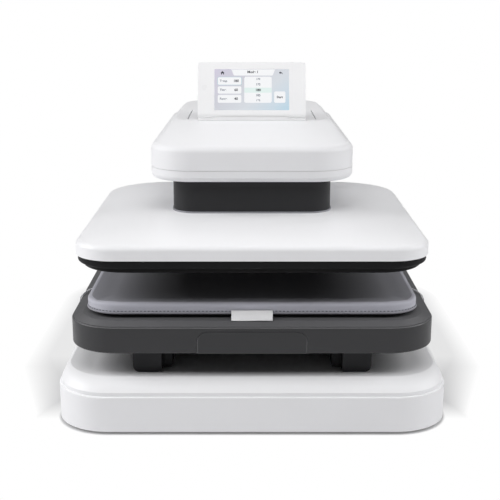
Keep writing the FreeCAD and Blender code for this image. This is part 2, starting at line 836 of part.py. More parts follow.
def drawer_slides():
    """Three-member steel slides, one on the inner face of each rail block."""
    for label, shrink, solid in (("slide_outer", 0, False), ("slide_middle", 1, False),
                                 ("slide_inner", 2, True)):
        members = [slide_channel(label, side, shrink, solid) for side in SIDES]
        node(label, group(label, *members))


# Tray
def grip_window(name, spare, back):
    """A block with round top corners, in the front wall of the tray."""
    block = box(name, (f"-{GRIP_SIDE} - {spare}", f"{GRIP_SIDE} + {spare}"),
                (f"{TRAY_FRONT} - {spare}", back),
                (f"{TRAY_BOTTOM} - {spare}", f"{GRIP_TOP} + {spare}"))
    top = value(f"{GRIP_TOP} + {spare}")
    return rounded(name + "_round", block, f"grip_corner + {spare}",
                   lambda edge: abs(edge.BoundBox.ZMin - top) < 1e-4
                   and edge.BoundBox.YLength > 1)


def tray_shell():
    """Dark grey tray with a stepped and bevelled rim, hollow from below."""
    body = new_body("tray_body")
    wall = pad(body, TRAY, TRAY_BOTTOM, TRAY_WALL_TOP)
    lower = soften(body, wall, "tray_edge_round", TRAY_BOTTOM)
    soften(body, lower, "tray_step_inset / 2", TRAY_WALL_TOP)
    pad(body, TRAY_STEP, TRAY_WALL_TOP, TRAY_STEP_TOP)
    loft(body, [(TRAY_STEP, TRAY_STEP_TOP), (TRAY_DECK, TRAY_TOP)])
    pocket(body, TRAY.inset("wall"), TRAY_BOTTOM, f"{TRAY_STEP_TOP} - wall")
    pocket(body, TRAY_DECK.inset("wall"), TRAY_BOTTOM, f"{TRAY_TOP} - wall")
    posts = [rod("tray_post", "z", centre,
                 (f"{TRAY_BOTTOM} + bracket_sheet", f"{TRAY_TOP} - wall / 2"), "2 * screw_head")
             for centre in TRAY_SCREWS]
    window = grip_window("grip_room", "seam", f"{TRAY_FRONT} + wall + overcut")
    screw_room = holes("tray_screw_room", TRAY_SCREWS, TRAY_BOTTOM,
                       f"{TRAY_BOTTOM} + screw_hole_depth", "screw_shank")
    shell = cut("tray_shell", fuse("tray_with_posts", body, *posts), window, screw_room)
    node("tray_shell", shell)


def grip_panel():
    """Front panel of the tray with a finger pocket that opens downwards behind it."""
    face = grip_window("grip_face", "0", f"{TRAY_FRONT} + wall")
    cup_x = f"({GRIP_SIDE} - grip_cup_inset)"
    cup_back = f"({TRAY_FRONT} + grip_depth)"
    cup_top = f"({GRIP_TOP} - grip_cup_inset / 2)"
    cup = box("grip_cup", (f"-{cup_x}", cup_x), (f"{TRAY_FRONT} + wall", cup_back),
              (TRAY_BOTTOM, cup_top))
    flange = box("grip_flange", (f"-{GRIP_SIDE} - grip_flange", f"{GRIP_SIDE} + grip_flange"),
                 (f"{TRAY_FRONT} + wall", f"{TRAY_FRONT} + wall + grip_sheet"),
                 (f"{TRAY_BOTTOM} + bracket_sheet", f"{GRIP_TOP} + grip_flange / 2"))
    room = box("finger_room", (f"-{cup_x} + grip_sheet", f"{cup_x} - grip_sheet"),
               (f"{TRAY_FRONT} + wall", f"{cup_back} - grip_sheet"),
               (f"{TRAY_BOTTOM} - overcut", f"{cup_top} - grip_sheet"))
    node("grip_panel", cut("grip_panel", fuse("grip_block", face, cup, flange), room))


def tray_bottom():
    """Steel plate that closes the tray from below."""
    plate = slab("tray_bottom_body", TRAY.inset("wall + play"), TRAY_BOTTOM,
                 f"{TRAY_BOTTOM} + bracket_sheet")
    through = (f"{TRAY_BOTTOM} - overcut", f"{TRAY_BOTTOM} + bracket_sheet + overcut")
    cup_room = box("cup_room", (f"-{GRIP_SIDE}", GRIP_SIDE),
                   (TRAY_FRONT, f"{TRAY_FRONT} + grip_depth + play"), through)
    screw_room = holes("tray_bottom_room", TRAY_SCREWS, *through, "screw_shank")
    node("tray_bottom_plate", cut("tray_bottom_plate", plate, cup_room, screw_room))


def tray_beams():
    """Steel tubes over the rail blocks that take the pressing force to the tray's floor."""
    beams = []
    for side in SIDES:
        middle = f"({side} * rail_spacing / 2)"
        x = (f"{middle} - tray_beam_width / 2", f"{middle} + tray_beam_width / 2")
        y = (f"{TRAY_FRONT} + tray_beam_end", f"{TRAY_BACK} - tray_beam_end")
        z = (f"{TRAY_BOTTOM} + bracket_sheet", f"{TRAY_TOP} - wall")
        room = box("beam_room", (f"{x[0]} + tray_beam_sheet", f"{x[1]} - tray_beam_sheet"),
                   (f"{y[0]} - overcut", f"{y[1]} + overcut"),
                   (f"{z[0]} + tray_beam_sheet", f"{z[1]} - tray_beam_sheet"))
        beams.append(cut("beam", box("beam_tube", x, y, z), room))
    node("tray_beams", group("tray_beams", *beams))


def tray_brackets():
    """Angle brackets that hang the tray on the inner slide members."""
    brackets = []
    for side in SIDES:
        outer = f"({side} * ({RAIL_INNER} - slide_width))"
        inner = f"({outer} - ({side}) * bracket_sheet)"
        edge = f"({outer} - ({side}) * bracket_flange)"
        y = (f"{SLIDE_FRONT} + bracket_end", f"{SLIDE_FRONT} + slide_length - bracket_end")
        web = box("bracket_web", (outer, inner) if side < 0 else (inner, outer), y,
                  (f"{SLIDE_BOTTOM} + slide_height / 2 - bracket_grip", TRAY_BOTTOM))
        flange = box("bracket_flange_plate", (outer, edge) if side < 0 else (edge, outer), y,
                     (f"{TRAY_BOTTOM} - bracket_sheet", TRAY_BOTTOM))
        brackets.append(fuse("bracket", web, flange))
    node("tray_brackets", group("tray_brackets", *brackets))


def lower_platen():
    plan = PAD.inset("lower_platen_inset")
    node("lower_platen", slab("lower_platen", plan, TRAY_TOP, PLATEN_TOP))


def press_pad():
    """Foam core under a sewn cover with a piped lower edge, a stitched channel and a low crown."""
    low = f"({PLATEN_TOP} + play)"
    piping_top = f"({low} + piping_height)"
    stitch_top = f"({piping_top} + stitch_height)"
    side_top = f"({PAD_TOP} - pad_crown)"
    skin_room = PAD.inset("pad_skin")
    body = new_body("pad_cover")
    piping = pad(body, PAD, low, piping_top)
    lower_edge = soften(body, piping, "piping_height / 2.5", low)
    soften(body, lower_edge, "piping_height / 2.5", piping_top)
    pad(body, PAD.inset("stitch_depth"), piping_top, stitch_top)
    side = pad(body, PAD, stitch_top, side_top)
    soften(body, side, "pad_edge_round", side_top)
    loft(body, [(PAD.inset("pad_edge_round + overcut"), side_top),
                (PAD.inset("pad_crown_inset", corner="pad_crown_corner"), PAD_TOP)])
    hollow = pocket(body, skin_room, low, f"{side_top} - pad_skin")
    soften(body, hollow, "pad_edge_round - pad_skin", f"{side_top} - pad_skin")
    node("pad_cover", body)
    core = slab("pad_core", skin_room.inset("play"), PLATEN_TOP, f"{side_top} - pad_skin - play")
    soften(core, core.Tip, "pad_edge_round - pad_skin - play", f"{side_top} - pad_skin - play")
    node("pad_core", core)


def pad_tab():
    """A small sewn tab that slopes from the pad's front edge down to the tray."""
    tab = box("pad_tab", across("tab_width"), ("0", "tab_thickness"), ("0", "tab_length"))
    tilt(tab, "-tab_tilt")
    place(tab, y=f"{PAD_FRONT} - tab_reach", z=f"{TRAY_TOP} + tab_lift")
    node("pad_tab", tab)


def pad_straps():
    """Elastic that holds the pad cover: from the platen's side over the tray's rim, down the
    tray's side and under its edge."""
    straps = []
    half_tray = value("tray_width / 2")
    half_platen = value("pad_width / 2 - lower_platen_inset")
    radius = value("strap_radius")
    clear = radius + value("play")
    start = value(f"{FRONT} + strap_set_back")
    slant = value("strap_slant")
    bevel = value("tray_bevel_inset")
    deck = value(TRAY_TOP) + clear
    rim = value(TRAY_STEP_TOP)
    under = value(TRAY_BOTTOM) - clear
    tucked = half_tray - value("strap_tuck")
    for side in SIDES:
        spots = [(half_platen + clear, start + slant / 6, deck),
                 (half_tray - 0.6 * bevel, start, deck),
                 (half_tray + clear, start - slant, rim),
                 (half_tray + clear, start - slant, under),
                 (tucked, start - slant, under)]
        points = [FreeCAD.Vector(side * x, y, z) for x, y, z in spots]
        straps.append(made("strap", tube(points, value("strap_bend"), radius)))
    node("pad_straps", group("pad_straps", *straps))


# Upper platen
HEATING = COVER.inset("heating_plate_inset", corner="skirt_corner",
                      rear_corner="(cover_rear_corner - heating_plate_inset)")
SKIRT = COVER.inset("skirt_inset", corner="skirt_corner",
                    rear_corner="(cover_rear_corner - skirt_inset)")
FLANGE_HOLE = COVER.inset("skirt_flange_inset")
OPENING_X = "(shroud_width / 2 - cover_opening_inset - shroud_wall)"
OPENING_Y = "(shroud_depth / 2 - cover_opening_inset)"
CROWN_AT_MIDDLE = 0.65


def platen_cover():
    """White cover: upright wall, soft crease and a low crown that is flat under the shroud."""
    body = new_body("cover_body")
    wall = pad(body, COVER, COVER_RIM, COVER_CREASE)
    soften(body, wall, "cover_edge_round", COVER_CREASE)
    middle = COVER.inset("(cover_edge_round + cover_flat_inset) / 2",
                         corner="((cover_corner - cover_edge_round + cover_flat_corner) / 2)",
                         rear_corner="((cover_rear_corner + cover_flat_rear_corner) / 2)")
    flat = COVER.inset("cover_flat_inset", corner="cover_flat_corner",
                       rear_corner="cover_flat_rear_corner")
    loft(body, [(COVER.inset("cover_edge_round"), COVER_CREASE),
                (middle, f"{COVER_CREASE} + {CROWN_AT_MIDDLE} * cover_crown"),
                (flat, COVER_TOP)])
    pocket(body, COVER.inset("wall"), COVER_RIM, f"{COVER_CREASE} - wall")
    pocket(body, COVER.inset("cover_flat_inset + overcut", corner="(cover_flat_corner - wall)"),
           COVER_RIM, f"{COVER_TOP} - wall")
    posts = [rod("cover_post", "z", centre, (BRIDGE_TOP, f"{COVER_TOP} - wall / 2"),
                 "screw_head") for centre in COVER_POSTS]
    opening = box("cover_opening", (f"-{OPENING_X}", OPENING_X),
                  (f"{PRESS_Y} - {OPENING_Y}", f"{PRESS_Y} + {OPENING_Y}"),
                  (f"{COVER_TOP} - 2 * wall", f"{COVER_TOP} + overcut"))
    node("platen_cover", cut("platen_cover", fuse("cover_with_posts", body, *posts), opening))


def heat_skirt():
    """Black ring under the cover's rim, with a flange that lies on the heating plate."""
    body = new_body("heat_skirt")
    lower = pad(body, SKIRT, SKIRT_BOTTOM, COVER_RIM)
    soften(body, lower, "skirt_edge_round", SKIRT_BOTTOM)
    nest = COVER.inset("wall + play")
    flange_top = f"{PLATE_TOP} + skirt_flange_height"
    pad(body, nest, COVER_RIM, flange_top)
    pocket(body, SKIRT.inset("wall"), SKIRT_BOTTOM, PLATE_TOP)
    pocket(body, FLANGE_HOLE, PLATE_TOP, flange_top)
    node("heat_skirt", body)


def element_points(height):
    """A loop round the front half of the heating plate, with two leads to the back."""
    centre = value(PRESS_Y)
    reach_x = value("cover_width / 2 - heating_plate_inset - element_inset")
    reach_y = value("cover_depth / 2 - heating_plate_inset - element_inset")
    lead = value("element_lead_gap / 2")
    spots = [(-lead, reach_y), (-lead, -reach_y / 3), (-reach_x, -reach_y / 3),
             (-reach_x, -reach_y), (reach_x, -reach_y), (reach_x, -reach_y / 3),
             (lead, -reach_y / 3), (lead, reach_y)]
    return [FreeCAD.Vector(x, centre + y, height) for x, y in spots]


def heating_plate():
    """Aluminium plate with a soft lower edge and a groove for its element."""
    body = new_body("heating_body")
    plate = pad(body, HEATING, PRESS_FACE, PLATE_TOP)
    soften(body, plate, "plate_edge_round", PRESS_FACE)
    radius = value("element_radius")
    bend = value("element_bend")
    points = element_points(value(f"{PLATE_TOP} - element_radius - play / 2"))
    groove = made("element_groove", tube(points, bend, radius + value("play")))
    node("heating_plate", cut("heating_plate", body, groove))
    element = made("heating_element", tube(points, bend, radius))
    node("heating_element", element)


def insulation():
    """Fibre board over the heating plate, inside the skirt's flange."""
    board = slab("insulation_body", FLANGE_HOLE.inset("insulation_gap"), PLATE_TOP,
                 f"{PLATE_TOP} + insulation_thickness")
    through = (f"{PLATE_TOP} - overcut", f"{PLATE_TOP} + insulation_thickness + overcut")
    spacer_room = holes("spacer_room", RODS, *through, "rod_radius + 2 * overcut")
    sensor_room = holes("sensor_room", SENSORS, *through, "sensor_radius + overcut")
    node("insulation_board", cut("insulation_board", board, spacer_room, sensor_room))


def heat_sensors():
    """Temperature probe and cut-out in metal cups on the plate."""
    cup_top = f"({PLATE_TOP} + sensor_height)"
    stem_top = f"({cup_top} + sensor_stem_height)"
    cups = [fuse("sensor",
                 rod("sensor_cup", "z", centre, (PLATE_TOP, cup_top), "sensor_radius"),
                 rod("sensor_stem", "z", centre, (cup_top, stem_top), "sensor_stem_radius"))
            for centre in SENSORS]
    node("heat_sensors", group("heat_sensors", *cups))


def press_bridge():
    """Steel plate that joins the rods and screw to the heating plate through spacers."""
    half_depth = "(shroud_depth / 2 - shroud_wall - bridge_gap)"
    plate = box("bridge_plate", across("shroud_width - 2 * (shroud_wall + bridge_gap)"),
                (f"{PRESS_Y} - {half_depth}", f"{PRESS_Y} + {half_depth}"),
                (BRIDGE_BOTTOM, BRIDGE_TOP))
    bolt_room = holes("bridge_bolt_room", RODS, f"{BRIDGE_BOTTOM} - overcut",
                      f"{BRIDGE_TOP} + overcut", "bolt_shank")
    node("press_bridge", cut("press_bridge", plate, bolt_room))
    spacers = [cut("spacer",
                   rod("spacer_body", "z", centre, (PLATE_TOP, BRIDGE_BOTTOM),
                       "rod_radius + overcut"),
                   rod("spacer_bore", "z", centre,
                       (f"{PLATE_TOP} - overcut", f"{BRIDGE_BOTTOM} + overcut"), "bolt_shank"))
               for centre in RODS]
    node("bridge_spacers", group("bridge_spacers", *spacers))


def guide_rods():
    """Four ground rods that stand on the bridge, each with a threaded end through it."""
    rods = [fuse("guide_rod", rod("rod_shaft", "z", centre,
                                  (BRIDGE_TOP, f"{BRIDGE_TOP} + rod_length"), "rod_radius"),
                 rod("rod_thread", "z", centre, (PLATE_TOP, BRIDGE_TOP), "bolt_shank"))
            for centre in RODS]
    node("guide_rods", group("guide_rods", *rods))


def lift_screw():
    """The screw that doesn't turn: it is fixed to the bridge and drawn through the nut."""
    centre = ("0", PRESS_Y)
    shaft = rod("screw_shaft", "z", centre, (BRIDGE_TOP, f"{BRIDGE_TOP} + rod_length"),
                "screw_radius")
    flange = rod("screw_flange", "z", centre, (BRIDGE_TOP, f"{BRIDGE_TOP} + screw_flange_height"),
                 "screw_flange_radius")
    node("lift_screw", fuse("lift_screw", shaft, flange))


# Drive, fixed to the head's arm
def guide_block():
    """Aluminium block with the rods' bushes, the nut's bearings and a motor flange."""
    block = box("guide_block_body", (f"-{BLOCK_HALF}", BLOCK_HALF),
                (f"{PRESS_Y} - {HANGER_OFFSET}", HANGER_FRONT), (BLOCK_BOTTOM, BLOCK_TOP))
    below = f"({BLOCK_BOTTOM} - overcut)"
    above = f"({BLOCK_TOP} + overcut)"
    bush_room = holes("bush_room", RODS, below, above, "rod_radius + bush_wall")
    centre = ("0", PRESS_Y)
    nut_room = rod("nut_room", "z", centre, (below, above), "nut_radius + 2 * overcut")
    lower_seat = rod("bearing_room", "z", centre, (below, f"{BLOCK_BOTTOM} + bearing_height"),
                     "bearing_radius")
    upper_seat = rod("bearing_room", "z", centre, (f"{BLOCK_TOP} - bearing_height", above),
                     "bearing_radius")
    room_radius = "(motor_radius + overcut)"
    motor_room = box("motor_room", (f"{MOTOR_X} - {room_radius}", f"{BLOCK_HALF} + overcut"),
                     (f"{PRESS_Y} - {room_radius}", f"{PRESS_Y} + {room_radius}"),
                     (below, MOTOR_TOP))
    shaft_room = rod("motor_shaft_room", "z", (MOTOR_X, PRESS_Y),
                     (f"{MOTOR_TOP} - overcut", above), "2 * motor_shaft_radius")
    node("guide_block", cut("guide_block", block, bush_room, nut_room, lower_seat, upper_seat,
                            motor_room, shaft_room))


def guide_bushes():
    bushes = [cut("bush",
                  rod("bush_body", "z", centre, (BLOCK_BOTTOM, BLOCK_TOP),
                      "rod_radius + bush_wall"),
                  rod("bush_bore", "z", centre,
                      (f"{BLOCK_BOTTOM} - overcut", f"{BLOCK_TOP} + overcut"),
                      "rod_radius + fit"))
              for centre in RODS]
    node("guide_bushes", group("guide_bushes", *bushes))


def nut_bearings():
    centre = ("0", PRESS_Y)
    rings = []
    for low in (BLOCK_BOTTOM, f"({BLOCK_TOP} - bearing_height)"):
        body = rod("bearing_body", "z", centre, (low, f"{low} + bearing_height"), "bearing_radius")
        bore = rod("bearing_bore", "z", centre,
                   (f"{low} - overcut", f"{low} + bearing_height + overcut"), "nut_radius + fit")
        rings.append(cut("bearing", body, bore))
    node("nut_bearings", group("nut_bearings", *rings))


def lift_nut():
    centre = ("0", PRESS_Y)
    body = rod("nut_body", "z", centre, (f"{BLOCK_BOTTOM} + play", GEAR_TOP), "nut_radius")
    bore = rod("nut_bore", "z", centre, (BLOCK_BOTTOM, f"{GEAR_TOP} + overcut"),
               "screw_radius + fit")
    node("lift_nut", cut("lift_nut", body, bore))


PRESSURE_ANGLE = 20
TOOTH_RISE, TOOTH_FALL = 0.9, 1.2  # of the module, above and below the pitch circle


def gear_solid(teeth, first_angle, bore):
    """A spur gear with straight flanks and a round bore.

    A tooth is half a pitch thick at the pitch circle, less the backlash. Its flanks lean in by
    the pressure angle less half the tooth's own angle, which is close to an involute there.
    """
    module = value("gear_module")
    pitch = module * teeth / 2
    half = math.pi * module / 4 - value("play") / 2
    lean = math.tan(math.radians(PRESSURE_ANGLE - 90 / teeth))
    tip, root = pitch + TOOTH_RISE * module, pitch - TOOTH_FALL * module
    corners = []
    for tooth in range(teeth):
        middle = first_angle + 2 * math.pi * tooth / teeth
        for radius, side in ((root, -1), (tip, -1), (tip, 1), (root, 1)):
            width = half - (radius - pitch) * lean
            angle = middle + side * width / radius
            corners.append(FreeCAD.Vector(radius * math.cos(angle), radius * math.sin(angle), 0))
    height = value("gear_height")
    toothed = Part.Face(Part.makePolygon(corners + corners[:1]))
    return toothed.extrude(FreeCAD.Vector(0, 0, height)).cut(Part.makeCylinder(bore, height))


def gears():
    """The nut's gear and the motor's pinion, in mesh."""
    gear = made("nut_gear", gear_solid(round(value("gear_teeth")), 0, value("nut_radius + fit")))
    place(gear, y=PRESS_Y, z=GEAR_BOTTOM)
    node("nut_gear", gear)
    teeth = round(value("pinion_teeth"))
    mesh_angle = math.pi if teeth % 2 else math.pi + math.pi / teeth
    shaft_radius = value("motor_shaft_radius")
    toothed = made("pinion_teeth_ring", gear_solid(teeth, mesh_angle, shaft_radius - 1))
    place(toothed, x=MOTOR_X, y=PRESS_Y, z=GEAR_BOTTOM)
    shaft = rod("pinion_shaft", "z", (MOTOR_X, PRESS_Y),
                (f"{MOTOR_TOP} - motor_shaft_depth", f"{GEAR_TOP} + 1"), "motor_shaft_radius")
    node("motor_pinion", fuse("motor_pinion", toothed, shaft))


def drive_motor():
    """Gearmotor hung under the block's flange."""
    centre = (MOTOR_X, PRESS_Y)
    case = rod("motor_case", "z", centre, (f"{MOTOR_TOP} - motor_height", MOTOR_TOP),
               "motor_radius")
    room = rod("motor_bore", "z", centre,
               (f"{MOTOR_TOP} - motor_shaft_depth", f"{MOTOR_TOP} + overcut"),
               "motor_shaft_radius + fit")
    node("drive_motor", cut("drive_motor", case, room))


def arm_frame():
    """Folded steel arm from the column to the hanger plate that carries the guide block."""
    shell = box("arm_shell", across("arm_width"), (HANGER_FRONT, ARM_BACK), (ARM_BOTTOM, ARM_TOP))
    room = box("arm_room", across("arm_width - 2 * arm_sheet"),
               (HANGER_BACK, f"{ARM_BACK} + overcut"),
               (f"{ARM_BOTTOM} - overcut", f"{ARM_TOP} - arm_sheet"))
    hanger = box("hanger_plate", across("arm_width"), (HANGER_FRONT, HANGER_BACK),
                 (BLOCK_BOTTOM, ARM_TOP))
    node("arm_frame", fuse("arm_frame", cut("arm_channel", shell, room), hanger))


def limit_switches():
    """Two small switches on the hanger plate, for the open and pressed ends of the stroke."""
    switches = []
    front = f"({HANGER_FRONT} - limit_depth)"
    for level in (GEAR_BOTTOM, f"({GEAR_BOTTOM} + limit_spacing)"):
        body = box("limit_body", ("limit_x - limit_width / 2", "limit_x + limit_width / 2"),
                   (front, HANGER_FRONT), (level, f"{level} + limit_height"))
        lever = box("limit_lever", ("limit_x - limit_width / 3", "limit_x + limit_width / 3"),
                    (f"{front} - limit_depth / 4", front),
                    (f"{level} + 0.4 * limit_height", f"{level} + 0.6 * limit_height"))
        switches.append(fuse("limit_switch", body, lever))
    node("limit_switches", group("limit_switches", *switches))


# Shroud
def shroud():
    """Dark tube that stands on the cover and rises into the head."""
    node("lift_shroud", ring("lift_shroud", SHROUD, SHROUD.inset("shroud_wall"), COVER_TOP,
                             SHROUD_TOP))
    outer = SHROUD.inset("-collar_width")
    body = ring("shroud_collar", outer, SHROUD, COVER_TOP, f"{COVER_TOP} + collar_height")
    node("shroud_collar", body)


# Head
def head_lower_shell():
    """White floor of the head with openings for the shroud and the column."""
    body = new_body("head_lower_body")
    wall = pad(body, HEAD, HEAD_BOTTOM, SEAM_HEIGHT)
    soften(body, wall, "head_foot_round", HEAD_BOTTOM)
    lip = HEAD.inset("wall + play")
    pad(body, lip, SEAM_HEIGHT, f"{SEAM_HEIGHT} + wall")
    floor = f"({HEAD_BOTTOM} + wall)"
    pocket(body, lip.inset("head_lip_width"), floor, f"{SEAM_HEIGHT} + wall")
    pocket(body, SHROUD.inset("-shroud_gap"), HEAD_BOTTOM, floor)
    posts = [rod("board_post", "z", centre, (f"{floor} - wall / 2", f"{floor} + board_lift"),
                 "board_post_radius") for centre in BOARD_POSTS]
    column_room = box("head_column_room", across("column_frame_width + 2 * play"),
                      (f"{FRAME_FRONT} - play", f"{FRAME_BACK} + play"),
                      (f"{HEAD_BOTTOM} - overcut", f"{floor} + overcut"))
    screw_room = holes("head_screw_room", HEAD_SCREWS, f"{HEAD_BOTTOM} - overcut",
                       f"{floor} + overcut", "screw_shank")
    post_room = holes("hood_post_room", HEAD_SCREWS, floor,
                      f"{SEAM_HEIGHT} + wall + overcut", "2 * screw_head + play")
    node("head_lower_shell", cut("head_lower_shell", fuse("head_with_posts", body, *posts),
                                 column_room, screw_room, post_room))


HEAD_CURVE = ((0.45, 0.55, 4), (1, 1, 9))  # shares of the way in and up, and the corner's loss


def head_crown(thickness):
    """Plans of the head's crown at rising heights, or of its hollow when drawn in by a wall."""
    foot = HEAD.inset(f"(head_edge_round + {thickness})")
    sections = [(foot, f"{HEAD_CREASE} - ({thickness})")]
    for share, rise, rounder in HEAD_CURVE:
        inset = f"({share} * head_side_slope)"
        plan = Plan(f"({foot.width} - 2 * {inset})",
                    f"({foot.front} + {share} * (head_slope_length + {thickness}))",
                    f"({foot.back} - {share} * head_rear_slope)",
                    f"({foot.corner} - {rounder})",
                    f"({foot.rear_width} - 2 * {inset})",
                    f"({foot.rear_corner} - {rounder})")
        sections.append((plan, f"{HEAD_CREASE} - ({thickness}) + {rise} * head_crown"))
    return sections


def head_upper_shell():
    """White hood: upright wall, soft crease, long front slope and a flat top with two slots."""
    body = new_body("head_upper_body")
    seam_top = f"({SEAM_HEIGHT} + seam)"
    wall = pad(body, HEAD, seam_top, HEAD_CREASE)
    soften(body, wall, "head_edge_round", HEAD_CREASE)
    loft(body, head_crown("0"))
    pocket(body, HEAD.inset("wall"), seam_top, f"{HEAD_CREASE} - wall")
    loft(body, head_crown("wall"), "SubtractiveLoft")
    slots = [box("vent_slot", (f"{side} * vent_spacing / 2 - vent_width / 2",
                               f"{side} * vent_spacing / 2 + vent_width / 2"),
                 VENT_Y, (f"{HEAD_TOP} - 2 * wall", f"{HEAD_TOP} + overcut")) for side in SIDES]
    floor = f"({HEAD_BOTTOM} + wall)"
    posts = [cut("hood_post",
                 rod("hood_post_body", "z", centre,
                     (floor, f"{HEAD_CREASE} - head_edge_round - 2 * overcut"),
                     "2 * screw_head"),
                 rod("hood_post_bore", "z", centre,
                     (f"{floor} - overcut", f"{HEAD_BOTTOM} + screw_hole_depth"), "screw_shank"))
             for centre in HEAD_SCREWS]
    node("head_upper_shell", fuse("head_upper_shell", cut("hood", body, *slots), *posts))


def vent_strips():
    """Pale strips behind the two slots of the hood."""
    strips = [box("vent_strip", (f"{side} * vent_spacing / 2 - vent_width",
                                 f"{side} * vent_spacing / 2 + vent_width"),
                  (f"{VENT_Y[0]} - vent_width", f"{VENT_Y[1]} + vent_width"),
                  (f"{HEAD_TOP} - wall - vent_width", f"{HEAD_TOP} - wall - play"))
              for side in SIDES]
    node("vent_strips", group("vent_strips", *strips))


# Each part's low and high place across and along the board, and its height, in board sizes
BOARD_PARTS = (("control_chip", -0.11, 0.11, 0.38, 0.62, 0.03),
               ("control_relay", 0.18, 0.4, 0.3, 0.52, 0.12),
               ("control_socket", -0.42, -0.18, 0.7, 0.82, 0.08))
CAP_X, CAP_Y = (-0.36, -0.21), 0.2


def control_board():
    """Circuit board on the head's posts, with its chips, relay and capacitors."""
    low = f"({HEAD_BOTTOM} + wall + board_lift)"
    top = f"({low} + board_thickness)"
    board = box("control_plate", across("board_width"),
                (BOARD_FRONT, f"{BOARD_FRONT} + board_depth"), (low, top))
    parts = []
    for label, low_x, high_x, low_y, high_y, height in BOARD_PARTS:
        parts.append(box(label, (f"{low_x} * board_width", f"{high_x} * board_width"),
                         (f"{BOARD_FRONT} + {low_y} * board_depth",
                          f"{BOARD_FRONT} + {high_y} * board_depth"),
                         (top, f"{top} + {height} * board_width")))
    caps = [rod("control_cap", "z",
                (f"{x} * board_width", f"{BOARD_FRONT} + {CAP_Y} * board_depth"),
                (top, f"{top} + board_width / 8"), "board_width / 20") for x in CAP_X]
    node("control_board", fuse("control_board", board, *parts, *caps))


# Column
def column_frame():
    """Steel upright: two side plates, a back plate with a fan hole, a top plate and feet."""
    half = "(column_frame_width / 2)"
    plates = []
    for side in SIDES:
        outer = f"({side} * {half})"
        inner = f"({side} * ({half} - column_sheet))"
        foot = f"({side} * ({half} - column_foot))"
        plates.append(box("column_side", (outer, inner) if side < 0 else (inner, outer),
                          (FRAME_FRONT, FRAME_BACK), (PAN_TOP, ARM_BOTTOM)))
        plates.append(box("column_foot", (outer, foot) if side < 0 else (foot, outer),
                          (FRAME_FRONT, FRAME_BACK), (PAN_TOP, f"{PAN_TOP} + column_sheet")))
    back = box("column_back", across("column_frame_width"),
               (f"{FRAME_BACK} - column_sheet", FRAME_BACK), (PAN_TOP, ARM_BOTTOM))
    top = box("column_top", across("column_frame_width"), (FRAME_FRONT, FRAME_BACK),
              (f"{ARM_BOTTOM} - column_sheet", ARM_BOTTOM))
    fan_room = rod("fan_room", "y", ("0", "fan_height"),
                   (f"{FRAME_BACK} - column_sheet - overcut", f"{FRAME_BACK} + overcut"),
                   "fan_size / 2 - fan_rim")
    bolt_room = holes("frame_bolt_room", COLUMN_BOLTS, f"{PAN_TOP} - overcut",
                      f"{PAN_TOP} + column_sheet + overcut", "bolt_shank")
    node("column_frame", cut("column_frame", fuse("column_plates", *plates, back, top), fan_room,
                             bolt_room))


def column_cover():
    """White sleeve round the upright, from the deck to the head, with air slots at the back."""
    body = ring("column_sleeve", COLUMN, COLUMN.inset("wall"), DECK, HEAD_BOTTOM)
    slots = [box("air_slot", across("air_slot_width"),
                 (f"{COLUMN_BACK} - wall - overcut", f"{COLUMN_BACK} + overcut"),
                 (f"fan_height + {row} * air_slot_pitch - air_slot_height / 2",
                  f"fan_height + {row} * air_slot_pitch + air_slot_height / 2"))
             for row in range(-3, 4)]
    node("column_cover", cut("column_cover", body, *slots))


def fan():
    """Cooling fan inside the column's back plate: a square frame and a bladed rotor."""
    low_y = f"({FRAME_BACK} - column_sheet - fan_depth)"
    high_y = f"({FRAME_BACK} - column_sheet)"
    centre = ("0", "fan_height")
    body = box("fan_square", across("fan_size"), (low_y, high_y),
               ("fan_height - fan_size / 2", "fan_height + fan_size / 2"))
    bore = rod("fan_bore", "y", centre, (f"{low_y} - overcut", f"{high_y} + overcut"),
               "fan_size / 2 - fan_rim")
    bars = [box("fan_bar", across(wide), (f"{high_y} - fan_rim", high_y),
                (f"fan_height - ({tall}) / 2", f"fan_height + ({tall}) / 2"))
            for wide, tall in (("fan_size - fan_rim", "2 * fan_rim"),
                               ("2 * fan_rim", "fan_size - fan_rim"))]
    axle = rod("fan_axle", "y", centre, (f"{low_y} + fan_rim", high_y), "fan_axle_radius")
    node("fan_frame", fuse("fan_frame", cut("fan_body", body, bore), *bars, axle))
    hub_radius = value("fan_hub_radius")
    tip = value("fan_size / 2 - fan_rim - 1")
    depth = value("fan_depth - 2.5 * fan_rim")
    thickness = value("fan_blade_thickness")
    blade_count = round(value("fan_blades"))
    axis = FreeCAD.Vector(0, 1, 0)
    hub = Part.makeCylinder(hub_radius, depth, FreeCAD.Vector(), axis)
    hub = hub.cut(Part.makeCylinder(value("fan_axle_radius + fit"), depth, FreeCAD.Vector(), axis))
    blades = []
    for index in range(blade_count):
        blade = Part.makeBox(tip - hub_radius + 1, thickness, depth)
        blade.translate(FreeCAD.Vector(hub_radius - 1, -thickness / 2, -depth / 2))
        blade.rotate(FreeCAD.Vector(), FreeCAD.Vector(1, 0, 0), value("fan_blade_angle"))
        blade.translate(FreeCAD.Vector(0, depth / 2, 0))
        blade.rotate(FreeCAD.Vector(), axis, 360 * index / blade_count)
        blades.append(blade)
    rotor = made("fan_rotor", hub.multiFuse(blades))
    place(rotor, y=f"{low_y} + fan_rim", z="fan_height")
    node("fan_rotor", rotor)


# Display, built upright round its hinge axis and then leaned back
SEAT_X = across("screen_width + 2 * (screen_rim + play)")
SEAT_Z = ("screen_lift - screen_rim - play", "screen_lift + screen_height + screen_rim + play")


def display_place(item):
    tilt(item, "-display_lean")
    place(item, y=HINGE_Y, z=HINGE_Z)


